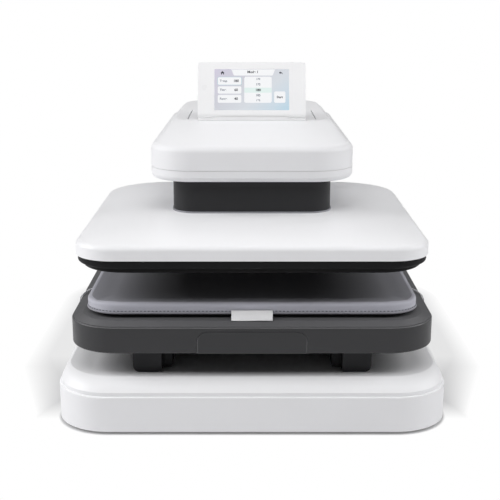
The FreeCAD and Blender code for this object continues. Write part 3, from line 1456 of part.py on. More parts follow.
def display_form(name):
    """The display's outer form: a thin block with round corners and a round foot. The foot is
    notched for the hinge bar, and a lip hangs down in front of the bar."""
    block = box(name + "_block", across("display_width"), (f"-{HALF_THICK}", HALF_THICK),
                ("0", "display_height"))
    top = value("display_height")
    softened = rounded(name + "_round", block, "display_corner",
                       lambda edge: abs(edge.BoundBox.ZMin - top) < 1e-4
                       and edge.BoundBox.YLength > 1)
    foot = rod(name + "_foot", "x", ("0", "0"), across("display_width"), HALF_THICK)
    whole = fuse(name + "_whole", softened, foot)
    notch = box(name + "_notch", (f"-{NOTCH_X}", NOTCH_X),
                (f"-{HALF_THICK} + hinge_lip_wall", "display_thickness"),
                ("-display_thickness", "screen_lift / 2"))
    lip_end = box(name + "_lip_end", (f"-{NOTCH_X}", NOTCH_X),
                  ("-display_thickness", "display_thickness"),
                  ("-display_thickness", "-hinge_lip"))
    notch_round = rod(name + "_notch_round", "x", ("0", "0"), (f"-{NOTCH_X}", NOTCH_X),
                      "hinge_bar_radius + play")
    bore = rod(name + "_bore", "x", ("0", "0"), across("display_width + 2 * overcut"),
               "hinge_pin_radius + fit")
    return cut(name + "_notched", whole, notch, lip_end, notch_round, bore)


def display_bezel():
    form = display_form("bezel")
    room = box("bezel_back_room", across("display_width + 2 * overcut"),
               (SPLIT_Y, "display_thickness"), ("-display_thickness", "display_height + overcut"))
    window = box("bezel_window", across("screen_width"), ("-display_thickness", SPLIT_Y),
                 ("screen_lift", "screen_lift + screen_height"))
    seat = box("bezel_seat", SEAT_X, (f"-{HALF_THICK} + screen_rim_depth", SPLIT_Y), SEAT_Z)
    item = cut("display_bezel", form, room, window, seat)
    display_place(item)
    node("display_bezel", item)


def display_back():
    form = display_form("display_back")
    front_room = box("back_front_room", across("display_width + 2 * overcut"),
                     ("-display_thickness", SPLIT_Y),
                     ("-display_thickness", "display_height + overcut"))
    room = box("back_room", across("display_width - 2 * display_skin"),
               (SPLIT_Y, f"{HALF_THICK} - display_skin"),
               ("screen_lift + display_skin", "display_height - display_skin"))
    screen_room = box("back_screen_room", SEAT_X, (SPLIT_Y, f"{SPLIT_Y} + screen_sink + play"),
                      SEAT_Z)
    item = cut("display_back_shell", form, front_room, room, screen_room)
    display_place(item)
    node("display_back_shell", item)


def display_screen():
    """Screen module behind the bezel's window and the circuit board behind it."""
    rim_back = f"(-{HALF_THICK} + screen_rim_depth)"
    module = box("screen_module", across("screen_width + 2 * screen_rim"),
                 (rim_back, f"{SPLIT_Y} + screen_sink"),
                 ("hinge_bar_radius + play", "screen_lift + screen_height + screen_rim"))
    face = box("screen_face", across("screen_width - 2 * fit"),
               (f"-{HALF_THICK} + screen_sink", rim_back),
               ("screen_lift + fit", "screen_lift + screen_height - fit"))
    screen = fuse("display_screen", module, face)
    display_place(screen)
    node("display_screen", screen)
    plate_front = f"({SPLIT_Y} + screen_sink + play)"
    plate_back = f"({plate_front} + board_thickness)"
    plate = box("display_plate", across("0.87 * screen_width"), (plate_front, plate_back),
                ("screen_lift + 0.1 * screen_height", "screen_lift + 0.85 * screen_height"))
    chip = box("display_chip", across("0.16 * screen_width"),
               (plate_back, f"{plate_back} + board_thickness"),
               ("screen_lift + 0.3 * screen_height", "screen_lift + 0.6 * screen_height"))
    board = fuse("display_board", plate, chip)
    display_place(board)
    node("display_board", board)


def hinge_bar():
    """Fixed bar in the display's notch, with a ledge in front, a foot as wide as the display,
    hollowed at both sides for the display's round foot, and the pin."""
    round_bar = rod("hinge_round", "x", (HINGE_Y, HINGE_Z), across("hinge_bar_width"),
                    "hinge_bar_radius")
    neck = "(screen_lift / 2 - play)"
    ledge_back = f"({HINGE_Y} - {HALF_THICK} - 2 * play)"
    ledge_front = f"({ledge_back} - hinge_ledge_depth)"
    stem = box("hinge_stem", across("hinge_bar_width"),
               (f"{HINGE_Y} - {neck}", f"{HINGE_Y} + {neck}"), (HEAD_TOP, HINGE_Z))
    foot_z = (HEAD_TOP, f"{HEAD_TOP} + hinge_foot_height")
    foot = box("hinge_foot", across("hinge_bar_width"), (ledge_front, HINGE_Y), foot_z)
    wide_foot = box("hinge_wide_foot", across("display_width"),
                    (ledge_front, f"{HINGE_Y} - hinge_bar_radius"), foot_z)
    inner_end = "(hinge_bar_width / 2)"
    outer_end = "(display_width / 2 + overcut)"
    foot_rooms = [rod("hinge_foot_room", "x", (HINGE_Y, HINGE_Z), span, f"{HALF_THICK} + play")
                  for span in ((f"-{outer_end}", f"-{inner_end}"), (inner_end, outer_end))]
    ledge = box("hinge_ledge", across("hinge_bar_width"), (ledge_front, ledge_back),
                (HEAD_TOP, f"{HEAD_TOP} + hinge_ledge_height"))
    bore = rod("hinge_bore", "x", (HINGE_Y, HINGE_Z), across("hinge_bar_width + 2 * overcut"),
               "hinge_pin_radius")
    body = fuse("hinge_body", round_bar, stem, foot, wide_foot, ledge)
    node("hinge_bar", cut("hinge_bar", body, bore, *foot_rooms))
    node("hinge_pin", rod("hinge_pin", "x", (HINGE_Y, HINGE_Z),
                          across("display_width - 2 * wall"), "hinge_pin_radius"))


# Power pieces
def power_inlet():
    """Three-pin mains inlet in the recessed rear panel."""
    flange = box("inlet_flange", ("inlet_x - inlet_width / 2", "inlet_x + inlet_width / 2"),
                 (PANEL, f"{PANEL} + inlet_rim"),
                 (f"{INLET_Z} - inlet_height / 2", f"{INLET_Z} + inlet_height / 2"))
    body = box("inlet_body", ("inlet_x - socket_width / 2", "inlet_x + socket_width / 2"),
               (f"{PANEL} - socket_depth", PANEL),
               (f"{INLET_Z} - socket_height / 2", f"{INLET_Z} + socket_height / 2"))
    half_width = "(socket_width / 2 - socket_wall)"
    half_height = "(socket_height / 2 - socket_wall)"
    floor = f"({PANEL} - socket_depth + socket_wall)"
    room = box("inlet_socket", (f"inlet_x - {half_width}", f"inlet_x + {half_width}"),
               (floor, f"{PANEL} + inlet_rim + overcut"),
               (f"{INLET_Z} - {half_height}", f"{INLET_Z} + {half_height}"))
    hollow = cut("inlet_hollow", fuse("inlet_block", flange, body), room)
    pins = []
    for across_step, up_step in ((-1, -0.4), (0, 0.6), (1, -0.4)):
        x = f"(inlet_x + {across_step} * pin_spacing / 2)"
        z = f"({INLET_Z} + {up_step} * pin_step)"
        pins.append(box("inlet_pin", (f"{x} - pin_width / 2", f"{x} + pin_width / 2"),
                        (f"{floor} - socket_wall / 2", f"{floor} + pin_length"),
                        (f"{z} - pin_height / 2", f"{z} + pin_height / 2")))
    node("power_inlet", fuse("power_inlet", hollow, *pins))


def rocker_switch():
    """Switch frame and its rocker, which tips about its middle."""
    x = ("(switch_x - switch_width / 2)", "(switch_x + switch_width / 2)")
    z = (f"({INLET_Z} - switch_height / 2)", f"({INLET_Z} + switch_height / 2)")
    body = box("switch_body", x, (f"{PANEL} - switch_depth", PANEL), z)
    rim = box("switch_rim", (f"{x[0]} - switch_rim", f"{x[1]} + switch_rim"),
              (PANEL, f"{PANEL} + switch_rim_height"),
              (f"{z[0]} - switch_rim", f"{z[1]} + switch_rim"))
    room = box("switch_socket", (f"{x[0]} + switch_wall", f"{x[1]} - switch_wall"),
               (f"{PANEL} - switch_depth + switch_wall", f"{PANEL} + switch_rim_height + overcut"),
               (f"{z[0]} + switch_end_wall", f"{z[1]} - switch_end_wall"))
    pivot_reach = "(switch_width / 2 - switch_wall / 2)"
    pivot_y = f"({PANEL} - rocker_pivot)"
    pivot_room = rod("rocker_pivot_room", "x", (pivot_y, INLET_Z),
                     (f"switch_x - {pivot_reach}", f"switch_x + {pivot_reach}"),
                     "rocker_pivot_radius + fit")
    frame = cut("rocker_frame", fuse("switch_block", body, rim), room, pivot_room)
    node("rocker_frame", frame)
    key = box("rocker_key", across("switch_width - 2 * (switch_wall + play)"),
              ("-rocker_pivot", "rocker_proud"), ("-rocker_length / 2", "rocker_length / 2"))
    dish = rod("rocker_dish", "x", ("rocker_proud - rocker_dip + rocker_dish_radius", "0"),
               across("switch_width"), "rocker_dish_radius")
    pivot = rod("rocker_pivot_pin", "x", ("0", "0"),
                (f"-{pivot_reach} + fit", f"{pivot_reach} - fit"), "rocker_pivot_radius")
    button = fuse("rocker_button", cut("rocker_cap", key, dish), pivot)
    tilt(button, "rocker_tilt")
    place(button, x="switch_x", y=pivot_y, z=INLET_Z)
    node("rocker_button", button)


def power_supply():
    """Cased supply on the base pan."""
    x = ("(-base_width / 2 + base_screw_inset + 2 * screw_head + supply_gap)",
         "(-column_frame_width / 2 - supply_gap)")
    y = (f"({BACK} - supply_rear_gap - supply_length)", f"({BACK} - supply_rear_gap)")
    top = f"({PAN_TOP} + supply_height)"
    case = box("supply_case", x, y, (PAN_TOP, top))
    slots = []
    for row in range(6):
        low = f"({x[0]} + supply_gap + {row} * supply_slot_pitch)"
        slots.append(box("supply_slot", (low, f"{low} + supply_slot_width"),
                         (f"{y[0]} + 2 * supply_gap", f"{y[1]} - 2 * supply_gap"),
                         (f"{top} - supply_slot_depth", f"{top} + overcut")))
    node("power_supply", cut("power_supply", case, *slots))


def all_fasteners():
    """Housing screws of one kind under the base and the head, frame bolts and tray screws."""
    screws = fastener_set(BASE_SCREWS, "foot_height", "foot_height + screw_length", SCREW)
    screws += fastener_set(HEAD_SCREWS, HEAD_BOTTOM, f"{HEAD_BOTTOM} + screw_length", SCREW)
    node("housing_screws", group("housing_screws", *screws))
    bolts = fastener_set(COLUMN_BOLTS, f"{PAN_TOP} + column_sheet", "foot_height", BOLT)
    node("column_bolts", group("column_bolts", *bolts))
    screws = fastener_set(TRAY_SCREWS, TRAY_BOTTOM, f"{TRAY_BOTTOM} + screw_length", SCREW)
    node("tray_screws", group("tray_screws", *screws))


def build():
    for make in (base_shell, base_pan, rubber_feet, rail_blocks, drawer_slides, tray_shell,
                 grip_panel, tray_bottom, tray_beams, tray_brackets, lower_platen, press_pad,
                 pad_tab, pad_straps, platen_cover, heat_skirt, heating_plate, insulation,
                 heat_sensors, press_bridge, guide_rods, lift_screw, guide_block, guide_bushes,
                 nut_bearings, lift_nut, gears, drive_motor, arm_frame, limit_switches, shroud,
                 head_lower_shell, head_upper_shell, vent_strips, control_board, column_frame,
                 column_cover, fan, display_bezel, display_back, display_screen, hinge_bar,
                 power_inlet, rocker_switch, power_supply, all_fasteners):
        make()
    document.recompute()


def check():
    """Stop on any failed object or unsound shape before anything is written."""
    for item in document.Objects:
        if {"Invalid", "Error"} & set(item.State):
            raise ValueError(f"{item.Label} failed: {item.State}")
    for item in hollows:
        if item.Shape.Volume >= item.BaseFeature.Shape.Volume:
            raise ValueError(f"{item.Label} cuts nothing")
    for item in nodes:
        if item.Shape.isNull() or not item.Shape.isValid():
            raise ValueError(f"{item.Label} has an unsound shape")


def write():
    os.makedirs("parts", exist_ok=True)
    for item in nodes:
        item.Shape.exportStep(f"parts/{item.Label}.step")
    print(len(nodes), "nodes")


build()
check()
write()
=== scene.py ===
# %% [markdown]
# # An automatic heat press, dressed in Blender
#
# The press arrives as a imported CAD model: every rigid piece already has its true shape and its
# place, in metres, with the front towards -Y. This lesson adds what CAD can't give: the camera
# of the photograph, studio light, a finish for every surface, the sewn pad that the work lies
# on, and the picture on the touch screen.

# %% Load the frame
import math

import bmesh
import bpy
import numpy as np
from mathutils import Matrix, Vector


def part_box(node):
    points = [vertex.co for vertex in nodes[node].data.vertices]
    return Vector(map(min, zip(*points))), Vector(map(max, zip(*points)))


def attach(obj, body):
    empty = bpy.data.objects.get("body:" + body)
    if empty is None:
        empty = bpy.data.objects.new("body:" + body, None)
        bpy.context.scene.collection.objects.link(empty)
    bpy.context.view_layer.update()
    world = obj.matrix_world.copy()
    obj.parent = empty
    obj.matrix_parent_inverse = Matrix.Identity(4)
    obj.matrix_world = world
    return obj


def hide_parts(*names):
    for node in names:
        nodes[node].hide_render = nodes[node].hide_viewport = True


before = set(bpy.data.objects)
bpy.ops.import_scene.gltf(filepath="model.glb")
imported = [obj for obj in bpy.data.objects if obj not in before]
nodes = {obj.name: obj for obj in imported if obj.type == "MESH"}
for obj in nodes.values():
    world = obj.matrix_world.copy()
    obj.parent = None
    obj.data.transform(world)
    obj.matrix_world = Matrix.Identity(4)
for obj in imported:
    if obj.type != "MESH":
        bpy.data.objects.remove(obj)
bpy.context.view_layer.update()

MM = 0.001
print("CAD nodes:", len(nodes))


def add_object(name, data):
    """A new object of the scene."""
    made = bpy.data.objects.new(name, data)
    bpy.context.scene.collection.objects.link(made)
    return made


# %% [markdown]
# ## Camera
#
# The photograph is a product view from straight in front and a little above. Its place was found
# by matching known widths and heights of the press against their pixels, so it is written here
# as plain numbers. There is no shift and no depth of field: nothing in the picture needs them.

# %% Camera
camera_data = bpy.data.cameras.new("camera")
camera_data.sensor_width = 36
camera_data.lens = 73.944
camera = add_object("camera", camera_data)
camera.location = (-2.35 * MM, -1379 * MM, 483.3 * MM)
camera.rotation_euler = (math.radians(90 - 13.945), 0, 0)
bpy.context.scene.camera = camera
print("camera lens", camera_data.lens, "mm")

# %% [markdown]
# ## Light and floor
#
# The press stands in a white studio. A wide softbox high in front gives the bright tops, and the
# front faces get most of their light from it and from the floor. A stronger box at the left and a
# weaker one at the right reach a little way into the gaps over the pad and under the tray, and
# leave their middles dark. The sky looks white to the camera only, through Light Path, so the
# white of the background adds no light to the press. The floor does the same in front of the
# base and away from it: there the camera sees pure white. Close beside the base the shade is
# partly painted: the camera sees the real shade, but on a darker paint than the floor that lights
# the press, in a band whose shape is painted by place, narrow and dark at the front, and wider
# and paler further back. Under the edge of the base some white is mixed in: painted light that
# pales the dark line there.


# %% Shader maths
class Signal:
    """An output socket that works in a Python expression: each operator adds one Math node."""

    def __init__(self, finish, socket):
        self.finish = finish
        self.socket = socket

    def math(self, operation, *values):
        return self.finish.add("ShaderNodeMath", {"operation": operation}, dict(enumerate(values)))

    def __add__(self, other):
        return self.math("ADD", self, other)

    def __sub__(self, other):
        return self.math("SUBTRACT", self, other)

    def __rsub__(self, other):
        return self.math("SUBTRACT", other, self)

    def __mul__(self, other):
        return self.math("MULTIPLY", self, other)

    def __truediv__(self, other):
        return self.math("DIVIDE", self, other)

    def __gt__(self, other):
        return self.math("GREATER_THAN", self, other)

    __radd__ = __add__
    __rmul__ = __mul__

    def sine(self):
        return self.math("SINE", self)

    def size(self):
        return self.math("ABSOLUTE", self)

    def root(self):
        return self.math("SQRT", self)

    def power(self, exponent):
        return self.math("POWER", self, exponent)

    def at_least(self, other):
        return self.math("MAXIMUM", self, other)


class Finish:
    """One material: a Principled shader, and the nodes that vary it over the surface."""

    def __init__(self, name, settings):
        self.material = bpy.data.materials.new(name)
        self.material.use_nodes = True
        self.tree = self.material.node_tree
        self.shader = self.tree.nodes["Principled BSDF"]
        for socket, setting in settings.items():
            self.shader.inputs[socket].default_value = setting

    def add(self, kind, settings=None, inputs=None, output=0):
        """Any node: its settings are set first, then the values or links of its sockets."""
        node = self.tree.nodes.new(kind)
        for name, setting in (settings or {}).items():
            if name == "stops":
                self.set_stops(node.color_ramp, setting)
            else:
                setattr(node, name, setting)
        for name, item in (inputs or {}).items():
            if isinstance(item, Signal):
                self.tree.links.new(item.socket, node.inputs[name])
            else:
                node.inputs[name].default_value = item
        return Signal(self, node.outputs[output])

    def set_stops(self, ramp, stops):
        while len(ramp.elements) < len(stops):
            ramp.elements.new(0.5)
        for element, (position, colour) in zip(ramp.elements, stops):
            element.position = position
            element.color = colour

    def feed(self, socket, signal):
        self.tree.links.new(signal.socket, self.shader.inputs[socket])

    def place(self):
        """Where a point of the surface is on the press, in metres."""
        return self.add("ShaderNodeTexCoord", output="Object")

    def axes(self, vector):
        """The three numbers of a vector."""
        split = self.tree.nodes.new("ShaderNodeSeparateXYZ")
        self.tree.links.new(vector.socket, split.inputs[0])
        return [Signal(self, socket) for socket in split.outputs]

    def cloth_place(self):
        """Where a point is on a cloth or cord, by its UV map."""
        return self.axes(self.add("ShaderNodeUVMap", {"uv_map": "cloth"}))[:2]

    def stretched(self, vector, scale):
        """A vector with each axis scaled by its own amount."""
        return self.add("ShaderNodeMapping", None, {"Vector": vector, "Scale": scale})

    def noise(self, vector, scale, detail=2.0):
        return self.add("ShaderNodeTexNoise", None,
                        {"Vector": vector, "Scale": scale, "Detail": detail})

    def range(self, signal, low, high, start=0.0, end=1.0):
        """Carry a signal from start..end to low..high, held at both ends."""
        return self.add("ShaderNodeMapRange", None, {"Value": signal, "From Min": start,
                                                     "From Max": end, "To Min": low,
                                                     "To Max": high})

    def blend(self, share, first, second):
        """A colour between two others."""
        return self.add("ShaderNodeMix", {"data_type": "RGBA"}, {0: share, 6: first, 7: second},
                        output=2)

    def tint(self, share, first, second):
        """Feed a colour between two others to the Base Color."""
        self.feed("Base Color", self.blend(share, first, second))

    def roughen(self, noise, low, high):
        """Feed low to high to the Roughness, over the middle of a noise, where most of it lies."""
        self.feed("Roughness", self.range(noise, low, high, 0.3, 0.7))

    def relief(self, height, depth):
        """Feed a height to the Normal, as a bump that is that many millimetres deep."""
        self.feed("Normal", self.add("ShaderNodeBump", None,
                                     {"Height": height, "Distance": depth * MM,
                                      "Strength": 1.0}))


def corner_distance(beside, before):
    """How far a point lies outside of a corner, from its distances past the two sides."""
    return (beside.at_least(0.0).power(2) + before.at_least(0.0).power(2)).root()


def tone(red, green, blue):
    """A colour as it reads on a screen, 0 to 255, made linear for the shader."""
    channels = np.array([red, green, blue]) / 255
    linear = np.where(channels <= 0.04045, channels / 12.92, ((channels + 0.055) / 1.055) ** 2.4)
    return (*linear.tolist(), 1.0)


def darker(colour, share):
    """A colour with only a share of its light."""
    return tuple(channel * share for channel in colour[:3]) + (1.0,)


print("shader maths ready")

# %% World and lamps
world = bpy.data.worlds.new("studio")
world.use_nodes = True
bpy.context.scene.world = world
sky = world.node_tree
seen = sky.nodes["Background"]
seen.inputs["Color"].default_value = (1, 1, 1, 1)
seen.inputs["Strength"].default_value = 1.0
lighting = sky.nodes.new("ShaderNodeBackground")
lighting.inputs["Color"].default_value = (1, 1, 1, 1)
lighting.inputs["Strength"].default_value = 0.1
path = sky.nodes.new("ShaderNodeLightPath")
mix = sky.nodes.new("ShaderNodeMixShader")
sky.links.new(path.outputs["Is Camera Ray"], mix.inputs["Fac"])
sky.links.new(lighting.outputs[0], mix.inputs[1])
sky.links.new(seen.outputs[0], mix.inputs[2])
sky.links.new(mix.outputs[0], sky.nodes["World Output"].inputs["Surface"])


PRESS_MIDDLE = Vector((0, -0.1, 0.2))


def softbox(name, place, size, watts):
    """A rectangular lamp at a place, turned towards the press."""
    data = bpy.data.lights.new(name, "AREA")
    data.shape = "RECTANGLE"
    data.size, data.size_y = size
    data.energy = watts
    lamp = add_object(name, data)
    lamp.location = place
    way = PRESS_MIDDLE - lamp.location
    lamp.rotation_euler = way.to_track_quat("-Z", "Y").to_euler()


softbox("softbox_front", (0, -1.3, 2.2), (2.4, 1.0), 25)
softbox("softbox_left", (-2.0, -0.3, 1.4), (1.6, 1.2), 36)
softbox("softbox_right", (2.0, -0.3, 1.4), (1.6, 1.2), 25)
softbox("softbox_rear", (0, 1.8, 2.0), (2.4, 1.0), 8)


# %% Floor
BASE_CORNER = 63 * MM


def white_floor():
    """A large flat sheet of white paint. The camera sees it dark under the press, paled by painted
    light, and grey close beside it in a painted shade, and pure white in front and further off."""
    reach = 6.0
    mesh = bpy.data.meshes.new("floor")
    mesh.from_pydata([(-reach, -reach, 0), (reach, -reach, 0), (reach, reach, 0),
                      (-reach, reach, 0)], [], [(0, 1, 2, 3)])
    floor = add_object("floor", mesh)
    paint = Finish("floor_paint", {"Roughness": 0.7, "Specular IOR Level": 0.1})
    place = paint.place()
    ray = paint.add("ShaderNodeLightPath", output="Is Camera Ray")
    # Painted shade: the camera sees a darker paint than the one that lights the press.
    seen = paint.blend(ray, tone(238, 238, 239), tone(190, 190, 191))
    paint.tint(paint.noise(place, 3.0) * 0.04, seen, tone(195, 195, 197))
    low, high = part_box("base_shell")
    x, y = paint.axes(place)[:2]
    beside = x.size() - (high.x - BASE_CORNER)
    before = y.size() - (high.y - BASE_CORNER)
    away = corner_distance(beside, before) - BASE_CORNER
    behind_front = y - low.y
    # The width of the painted shade beside the base: 30 mm near the front, 80 mm further back.
    painted_shade_width = paint.range(behind_front, 30 * MM, 80 * MM, 60 * MM, 220 * MM)
    past_painted_shade = paint.range(away / painted_shade_width, 0.0, 1.0)
    in_front = paint.range(behind_front, 0.0, 1.0, 115 * MM, 45 * MM)
    far_back = paint.range(behind_front, 0.0, 0.65, 100 * MM, 260 * MM)
    # Under the base a share of 0.18 white is mixed in: painted light that pales the dark line.
    outside = paint.range(away, 0.18, 1.0, 0.0, 3 * MM)
    lift = past_painted_shade.at_least(in_front.at_least(far_back) * outside)
    white = paint.add("ShaderNodeEmission", None, {"Color": (1, 1, 1, 1), "Strength": 1.0})
    mixed = paint.add("ShaderNodeMixShader", None,
                      {0: ray * lift, 1: Signal(paint, paint.shader.outputs[0]), 2: white})
    output = paint.tree.nodes["Material Output"]
    paint.tree.links.new(mixed.socket, output.inputs["Surface"])
    mesh.materials.append(paint.material)


white_floor()
bpy.context.scene.view_settings.view_transform = "Standard"
print("floor laid")

# %% [markdown]
# ## Moulded plastic
#
# The housings are injection moulded. Such a surface has a fine spark-eroded grain, which softens
# its shine, and a very slight unevenness in colour and gloss where the melt flowed. A photograph
# of the grain would do, but noise on Object coordinates has no seams and works at any zoom.


# %% Moulded plastic
def moulded(name, colour, roughness, grain=0.02, specular=0.45, painted_light=None, painted_light_colour=None):
    """Moulded plastic: colour drifts by a few hundredths, gloss by a tenth, with a fine grain.
    Painted light is a function that gives the share of a second, paler colour at each place."""
    finish = Finish(name, {"Specular IOR Level": specular})
    place = finish.place()
    shade = finish.blend(finish.noise(place, 9.0, 3.0), colour, darker(colour, 0.965))
    if painted_light:
        # Painted light: a paler colour blended in where light falls.
        shade = finish.blend(painted_light(finish, *finish.axes(place)), shade, painted_light_colour)
    finish.feed("Base Color", shade)
    finish.roughen(finish.noise(place, 45.0), roughness * 0.9, roughness * 1.1)
    finish.relief(finish.noise(place, 1600.0, 3.0), grain)
    return finish.material


def rim_trim(finish, x, y, z):
    """Painted light: the tray's bevel and deck paler, from just under its upright wall's top."""
    bevel = 4.4 * MM
    wall_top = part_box("tray_shell")[1].z - bevel
    return finish.range(z, 0.0, 1.0, wall_top - 0.9 * MM, wall_top - 0.2 * MM)


def grip_trim(finish, x, y, z):
    """Painted highlight on the grip's outline: a thin paler band along its round-topped edge."""
    half_width = 62 * MM
    corner = 12 * MM
    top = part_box("grip_panel")[1].z
    edge = corner_distance(x.size() - (half_width - corner), z - (top - corner))
    return finish.range(edge, 0.0, 1.0, corner - 1.6 * MM, corner - 0.4 * MM)


white_base = moulded("white_base", tone(245, 245, 247), 0.42)
white_cover = moulded("white_cover", tone(245, 245, 247), 0.38)
white_head = moulded("white_head", tone(239, 239, 241), 0.5, specular=0.35)
white_display = moulded("white_display", tone(250, 250, 251), 0.3, grain=0.008)
# The tray's rim and the grip's edge get painted light: a paler grey where light falls.
grey_tray = moulded("grey_tray", tone(48, 48, 50), 0.36, grain=0.006, painted_light=rim_trim,
                    painted_light_colour=tone(98, 98, 100))
grey_grip = moulded("grey_grip", tone(48, 48, 50), 0.36, grain=0.006, painted_light=grip_trim,
                    painted_light_colour=tone(86, 86, 88))
grey_rail = moulded("grey_rail", tone(34, 34, 37), 0.5, grain=0.04, specular=0.3)
dark_shroud = moulded("dark_shroud", tone(38, 38, 40), 0.4, specular=0.35)
pale_collar = moulded("pale_collar", tone(150, 150, 156), 0.35)
black_skirt = moulded("black_skirt", tone(22, 22, 24), 0.5, specular=0.15)
black_plastic = moulded("black_plastic", tone(24, 24, 26), 0.45, grain=0.03)
glossy_black = moulded("glossy_black", tone(18, 18, 20), 0.2, grain=0.004)
nylon = moulded("natural_nylon", tone(226, 222, 208), 0.5)
print("plastics:", len(bpy.data.materials))

# %% [markdown]
# ## Metals
#
# Inside the housings are sheet steel, ground rods, a rolled screw and cast blocks. What tells
# them apart is the direction of their fine lines: brushed sheet has long streaks, turned work
# has rings, and zinc has a spangle of crystals. Each is one noise, stretched or wrapped.


# %% Metals
def brushed(name, colour, roughness, scale=(1.0, 60.0, 60.0)):
    """Metal with streaks along one axis: noise squeezed across that axis."""
    finish = Finish(name, {"Metallic": 1.0})
    streaks = finish.noise(finish.stretched(finish.place(), scale), 26.0, 4.0)
    finish.tint(streaks, colour, darker(colour, 0.8))
    finish.roughen(streaks, roughness * 0.8, roughness * 1.25)
    finish.relief(streaks, 0.015)
    return finish.material


def turned(name, colour, roughness, pitch=0.6 * MM):
    """Turned metal: rings across its upright axis, with a little noise in their depth."""
    finish = Finish(name, {"Metallic": 1.0})
    place = finish.place()
    upright = finish.axes(place)[2]
    rings = (upright * (2 * math.pi / pitch)).sine() * 0.5 + 0.5
    stain = finish.noise(place, 60.0)
    finish.tint(stain, colour, darker(colour, 0.82))
    finish.roughen(stain, roughness * 0.85, roughness * 1.2)
    finish.relief(rings * 0.6 + stain * 0.4, 0.01)
    return finish.material


def rolled_thread(name, colour, lead, centre):
    """A screw thread as a bump: a wave in height that moves on by one lead in each turn."""
    finish = Finish(name, {"Metallic": 1.0})
    place = finish.place()
    x, y, z = finish.axes(place)
    angle = finish.add("ShaderNodeMath", {"operation": "ARCTAN2"}, {0: y - centre, 1: x})
    wave = (z * (2 * math.pi / lead) + angle).sine()
    grease = finish.noise(place, 90.0)
    finish.tint(grease, colour, tone(96, 92, 84))
    finish.roughen(grease, 0.22, 0.4)
    finish.relief(wave, 0.9)
    return finish.material


def galvanised(name):
    """Zinc-coated sheet: crystals of slightly different grey, from Voronoi cells."""
    finish = Finish(name, {"Metallic": 1.0})
    place = finish.place()
    crystals = finish.add("ShaderNodeTexVoronoi", None, {"Vector": place, "Scale": 140.0},
                          output="Color")
    level = finish.axes(crystals)[0]
    finish.tint(level, tone(160, 163, 166), tone(196, 198, 200))
    finish.feed("Roughness", finish.range(level, 0.3, 0.48))
    finish.relief(finish.noise(place, 300.0), 0.01)
    return finish.material


def powder_coat(name, colour, specular=0.5):
    """Powder coat: a shallow orange-peel skin over painted steel."""
    finish = Finish(name, {"Specular IOR Level": specular})
    place = finish.place()
    peel = finish.noise(place, 700.0, 1.0)
    finish.tint(finish.noise(place, 30.0), colour, darker(colour, 0.85))
    finish.roughen(peel, 0.4, 0.55)
    finish.relief(peel, 0.04)
    return finish.material


press_y = sum(corner.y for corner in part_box("lift_screw")) / 2
zinc_steel = brushed("zinc_steel", tone(178, 180, 183), 0.34)
ground_steel = turned("ground_steel", tone(205, 206, 209), 0.14, 0.3 * MM)
turned_steel = turned("turned_steel", tone(176, 177, 180), 0.3)
bronze = turned("sintered_bronze", tone(176, 132, 84), 0.42, 0.4 * MM)
brass = turned("turned_brass", tone(196, 160, 96), 0.26)
screw_steel = rolled_thread("rolled_screw", tone(168, 168, 170), 4 * MM, press_y)
milled_aluminium = brushed("milled_aluminium", tone(190, 192, 195), 0.36, (60.0, 60.0, 1.0))
heat_steel = turned("heat_tinted_steel", tone(142, 128, 112), 0.4)
zinc_sheet = galvanised("galvanised_sheet")
coated_frame = powder_coat("coated_frame", tone(58, 58, 61))
coated_pan = powder_coat("coated_pan", tone(44, 44, 46))
black_zinc = powder_coat("black_zinc", tone(18, 18, 20), 0.15)
print("metals ready")

# %% [markdown]
# ## Working surfaces and small materials
#
# The upper plate has a non-stick coat, matte black with a fine mineral fleck. The platen under
# the pad is anodised. The rest are a fibre board, rubber, circuit boards and foam, each with its
# own grain. The boards share one rule: up to the board's own top the surface is solder mask
# with copper lines under it, and above that it is a dark component.


# %% Working surfaces
def non_stick(name):
    """A fluoropolymer coat: black, with sparse pale flecks where cells of noise peak."""
    finish = Finish(name, {"Specular IOR Level": 0.15})
    place = finish.place()
    fleck = finish.noise(place, 900.0, 1.0) > 0.7
    finish.tint(fleck, tone(12, 12, 13), tone(44, 44, 46))
    finish.roughen(finish.noise(place, 120.0), 0.38, 0.52)
    finish.relief(finish.noise(place, 1500.0), 0.02)
    return finish.material


def fibre_board(name):
    """Pressed ceramic fibre: long pale strands in all directions of the sheet."""
    finish = Finish(name, {"Roughness": 0.95})
    place = finish.place()
    along = finish.noise(finish.stretched(place, (4.0, 40.0, 40.0)), 18.0, 4.0)
    cross = finish.noise(finish.stretched(place, (40.0, 4.0, 40.0)), 18.0, 4.0)
    strands = along * 0.5 + cross * 0.5
    finish.tint(strands, tone(222, 216, 200), tone(188, 180, 160))
    finish.relief(strands, 0.3)
    return finish.material


def rubber(name, colour):
    """Rubber, foam or thread: matte, with a little grey dust in patches."""
    finish = Finish(name, {"Specular IOR Level": 0.3})
    place = finish.place()
    dust = finish.noise(place, 50.0, 4.0)
    finish.tint(dust, colour, tone(52, 52, 52))
    finish.roughen(dust, 0.65, 0.9)
    finish.relief(finish.noise(place, 900.0), 0.05)
    return finish.material


def circuit_board(name, above):
    """Solder mask with lines of copper; where `above` is positive it is a component instead."""
    finish = Finish(name, {"Specular IOR Level": 0.5})
    place = finish.place()
    x, y, z = finish.axes(place)
    lines = finish.add("ShaderNodeTexBrick", None,
                       {"Vector": place, "Scale": 90.0, "Mortar Size": 0.03}, output="Fac")
    mask = finish.blend(lines, tone(16, 92, 52), tone(38, 130, 76))
    parts = finish.noise(place, 90.0)
    component = finish.blend(parts, tone(26, 26, 28), tone(44, 44, 46))
    finish.tint(above(x, y, z) > 0, mask, component)
    finish.roughen(parts, 0.3, 0.45)
    finish.relief(lines, 0.02)
    return finish.material


